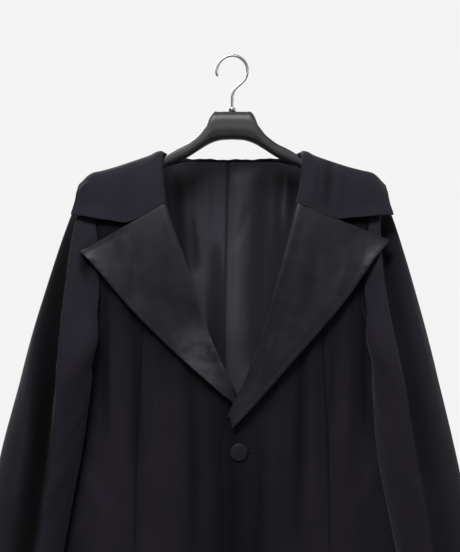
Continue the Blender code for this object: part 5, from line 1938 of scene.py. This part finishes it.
class JACKET_OT_sleeves(bpy.types.Operator):
    """Builds both sleeves, with their folds and long seams"""

    bl_idname = "jacket.sleeves"
    bl_label = "Sleeves"

    def execute(self, context):
        finish = finish_of(suiting, context.scene.jacket)
        for hand in (1, -1):
            sheet, turn, hollow = sleeve_cloth(hand)
            sheet = with_allowance(sheet)
            turn, hollow = (np.concatenate([part[:1]] * len(ALLOWANCE) + [part]) for part in (turn, hollow))
            uv = np.stack([turn * SLEEVE_AROUND, sheet[0][..., 2]], axis=-1)
            edges = {"rim": HEM_RIM, "cloth_uv": uv}
            node = sided("sleeve", hand)
            piece = cloth_piece(node, "shell", finish, sheet, hollow, SHELL, **edges)
        return {"FINISHED"}


class JACKET_OT_collar(bpy.types.Operator):
    """Builds the wide flat collar"""

    bl_idname = "jacket.collar"
    bl_label = "Collar"

    def execute(self, context):
        below = coarse_sheets()
        under = surface_tree(below.values())
        coarse = collar_sheet(below["front_left"], below["front_right"], below["back"], under)
        settings = context.scene.jacket
        sheet, hollow = collar_cloth(coarse)
        finish = finish_of(suiting, settings)
        piece = cloth_piece("collar", "shell", finish, sheet, hollow, COLLAR_WALL, rim=COLLAR_RIM)
        rows = [(from_last(sheet), PICK_INSET)]
        sewn = stitches("collar_stitches", rows, finish_of(sewing_thread, settings))
        return {"FINISHED"}


class JACKET_OT_lapels(bpy.types.Operator):
    """Builds both satin lapels with the pick stitches along their edges"""

    bl_idname = "jacket.lapels"
    bl_label = "Lapels"

    def execute(self, context):
        below = coarse_sheets()
        settings = context.scene.jacket
        finish = finish_of(sateen, settings)
        for hand in (1, -1):
            front = below[sided("front", hand)]
            under = surface_tree([front, below[sided("sleeve", hand)]])
            sheet, hollow = lapel_cloth(hand, lapel_sheet(hand, front, under))
            name = sided("lapel", hand)
            piece = cloth_piece(name, "satin", finish, sheet, hollow, LAPEL_WALL, rim=LAPEL_RIM)
            rows = [(from_last(sheet), PICK_INSET), (from_top(sheet), PICK_INSET)]
            sewn = stitches(name + "_stitches", rows, finish_of(sewing_thread, settings))
        return {"FINISHED"}


class JACKET_OT_lining(bpy.types.Operator):
    """Builds the two halves of the back lining"""

    bl_idname = "jacket.lining"
    bl_label = "Lining"

    def execute(self, context):
        finish = finish_of(satin_lining, context.scene.jacket)
        for hand in (1, -1):
            node = sided("lining_back", hand)
            piece = cloth_piece(node, "lining", finish, *lining_cloth(hand), LINING_WALL)
        return {"FINISHED"}


class JACKET_OT_button(bpy.types.Operator):
    """Builds the covered button and the worked buttonhole behind it"""

    bl_idname = "jacket.button"
    bl_label = "Button"

    def execute(self, context):
        settings = context.scene.jacket
        x, drop = np.array(BUTTON_X), np.array(BUTTON_DROP)
        normal = body_normal(x, drop, -1)
        middle = points_at(x, body_y(x, drop, -1) + overlap_shift(x, drop, 1), drop)
        across = unit(np.cross(normal, [0.0, 0.0, 1.0]))
        upward = np.cross(normal, across)
        turn = np.linspace(0, 2 * math.pi, BUTTON_SIDES + 1)[:-1]
        circle = np.outer(np.cos(turn), across) + np.outer(np.sin(turn), upward)
        part, height = smooth_path(BUTTON_SHAPE, BUTTON_RINGS).T
        near_edge = bell(part[:, None] - GATHER_AT, GATHER_WIDTH)
        gathers = 1 + BUTTON_GATHER * np.cos(turn * BUTTON_GATHERS)[None] * near_edge
        reach = (BUTTON_RADIUS * part[:, None] * gathers)[..., None]
        rings = middle + normal * height[:, None, None] + circle * reach
        made = Builder("button_cover", finish_of(sateen, settings))
        made.grid(rings, closed=True)
        dress(made.finish(), "button")
        self.buttonhole(middle, normal, across, upward, settings)
        return {"FINISHED"}

    def buttonhole(self, middle, normal, across, upward, settings):
        """A worked oval of close stitches that the button passes through."""
        turn = np.linspace(0, 2 * math.pi, HOLE_STITCHES + 1)[:-1]
        toward_side = across * np.sign(across[0])
        long_way = HOLE_HALF_LENGTH * np.sign(np.cos(turn)) * np.abs(np.cos(turn)) ** HOLE_ROUNDNESS
        short_way = HOLE_HALF_WIDTH * np.sign(np.sin(turn)) * np.abs(np.sin(turn)) ** HOLE_ROUNDNESS
        path = middle + np.outer(long_way + HOLE_OFFSET, toward_side) + np.outer(short_way, upward)
        away = unit(path - path.mean(axis=0))
        around = np.linspace(0, 2 * math.pi, HOLE_THREAD_SIDES + 1)[:-1]
        twist = 1 + HOLE_TWIST * np.cos(np.arange(len(path)) * math.pi)[:, None, None]
        tube = away[:, None] * np.cos(around)[None, :, None] + normal * np.sin(around)[None, :, None]
        made = Builder("buttonhole_stitches", finish_of(sewing_thread, settings))
        rings = path[:, None] + tube * HOLE_THREAD * twist + normal * HOLE_THREAD * 0.4
        made.grid(np.concatenate([rings, rings[:1]]), closed=True)
        dress(made.finish())


class JACKET_OT_hanger(bpy.types.Operator):
    """Builds the hanger's arched arms, and its wire hook with the ferrule at its foot"""

    bl_idname = "jacket.hanger"
    bl_label = "Hanger"

    def execute(self, context):
        settings = context.scene.hanger
        arms = Builder("hanger_arms", finish_of(moulded_plastic, settings))
        arms.grid(hanger_rings(), closed=True)
        dress(arms.finish(), "hanger_body")
        wire = Builder("hook_wire", finish_of(drawn_steel, settings))
        wire.grid(hook_rings(), closed=True)
        dress(wire.finish(), "hanger_hook")
        return {"FINISHED"}


class JACKET_OT_stage(bpy.types.Operator):
    """Sets up the floor, the soft light and the camera"""

    bl_idname = "jacket.stage"
    bl_label = "Stage"

    def execute(self, context):
        settings = context.scene.stage
        scene = context.scene
        disc = bmesh.new()
        bmesh.ops.create_circle(disc, cap_ends=True, radius=FLOOR_RADIUS, segments=FLOOR_SIDES)
        mesh = bpy.data.meshes.new("floor")
        disc.to_mesh(mesh)
        disc.free()
        mesh.materials.append(finish_of(studio_floor, settings))
        floor = bpy.data.objects.new("floor", mesh)
        floor.location.z = -settings.floor_drop
        scene.collection.objects.link(floor)
        self.light_room(scene, settings)
        camera = bpy.data.cameras.new("camera")
        camera.lens = settings.lens
        camera.clip_start = CAMERA_NEAR
        eye = bpy.data.objects.new("camera", camera)
        eye.location = (CAMERA_X, -settings.camera_distance, -settings.camera_drop)
        eye.rotation_euler = (math.radians(90), 0, 0)
        scene.collection.objects.link(eye)
        scene.camera = eye
        return {"FINISHED"}

    def light_room(self, scene, settings):
        world = bpy.data.worlds.new("studio")
        scene.world = world
        scene.view_settings.view_transform = "Standard"
        room = Nodes(world, "Background")
        toward = room.node("ShaderNodeTexCoord", output=0)
        height = room.part(toward, 2)
        walls = (1.0 - height.ramp(*ROOM_EDGE)) * (1.0 - (height * -1.0).ramp(*ROOM_EDGE))
        behind = room.part(toward, 1).ramp(0.0, ROOM_EDGE[1]) * (1.0 - ROOM_FRONT) + ROOM_FRONT
        light = walls * behind * (1.0 - ROOM_LOW) + ROOM_LOW
        room.tree.links.new(light.socket, room.surface.inputs["Color"])
        room.surface.inputs["Strength"].default_value = settings.background
        for name, place, size, part in LIGHTS:
            lamp = bpy.data.lights.new(name, "AREA")
            lamp.shape = "RECTANGLE"
            lamp.size, lamp.size_y = size
            lamp.energy = settings.key_power * part
            obj = bpy.data.objects.new(name, lamp)
            obj.location = place
            obj.rotation_euler = (Vector(LIT_POINT) - Vector(place)).to_track_quat("-Z", "Y").to_euler()
            scene.collection.objects.link(obj)


class JACKET_PT_panel(bpy.types.Panel):
    """Lists the steps that build the jacket and its stage"""

    bl_idname = "JACKET_PT_panel"
    bl_label = "Long jacket"
    bl_space_type = "VIEW_3D"
    bl_region_type = "UI"
    bl_category = "Jacket"

    def draw(self, context):
        for group in (context.scene.jacket, context.scene.hanger, context.scene.stage):
            for name in group.__annotations__:
                self.layout.prop(group, name)
        for operator in OPERATORS:
            self.layout.operator(operator.bl_idname)


SETTINGS = {"jacket": JacketSettings, "hanger": HangerSettings, "stage": StageSettings}
OPERATORS = (
    JACKET_OT_fronts,
    JACKET_OT_back,
    JACKET_OT_sleeves,
    JACKET_OT_collar,
    JACKET_OT_lapels,
    JACKET_OT_lining,
    JACKET_OT_button,
    JACKET_OT_hanger,
    JACKET_OT_stage,
)


def register():
    for made in (*SETTINGS.values(), *OPERATORS, JACKET_PT_panel):
        bpy.utils.register_class(made)
    for name, group in SETTINGS.items():
        setattr(bpy.types.Scene, name, bpy.props.PointerProperty(type=group))


def unregister():
    for name in SETTINGS:
        delattr(bpy.types.Scene, name)
    for made in reversed((*SETTINGS.values(), *OPERATORS, JACKET_PT_panel)):
        bpy.utils.unregister_class(made)


def main():
    register()
    for operator in OPERATORS:
        group, name = operator.bl_idname.split(".")
        getattr(getattr(bpy.ops, group), name)()


if __name__ == "__main__":
    main()
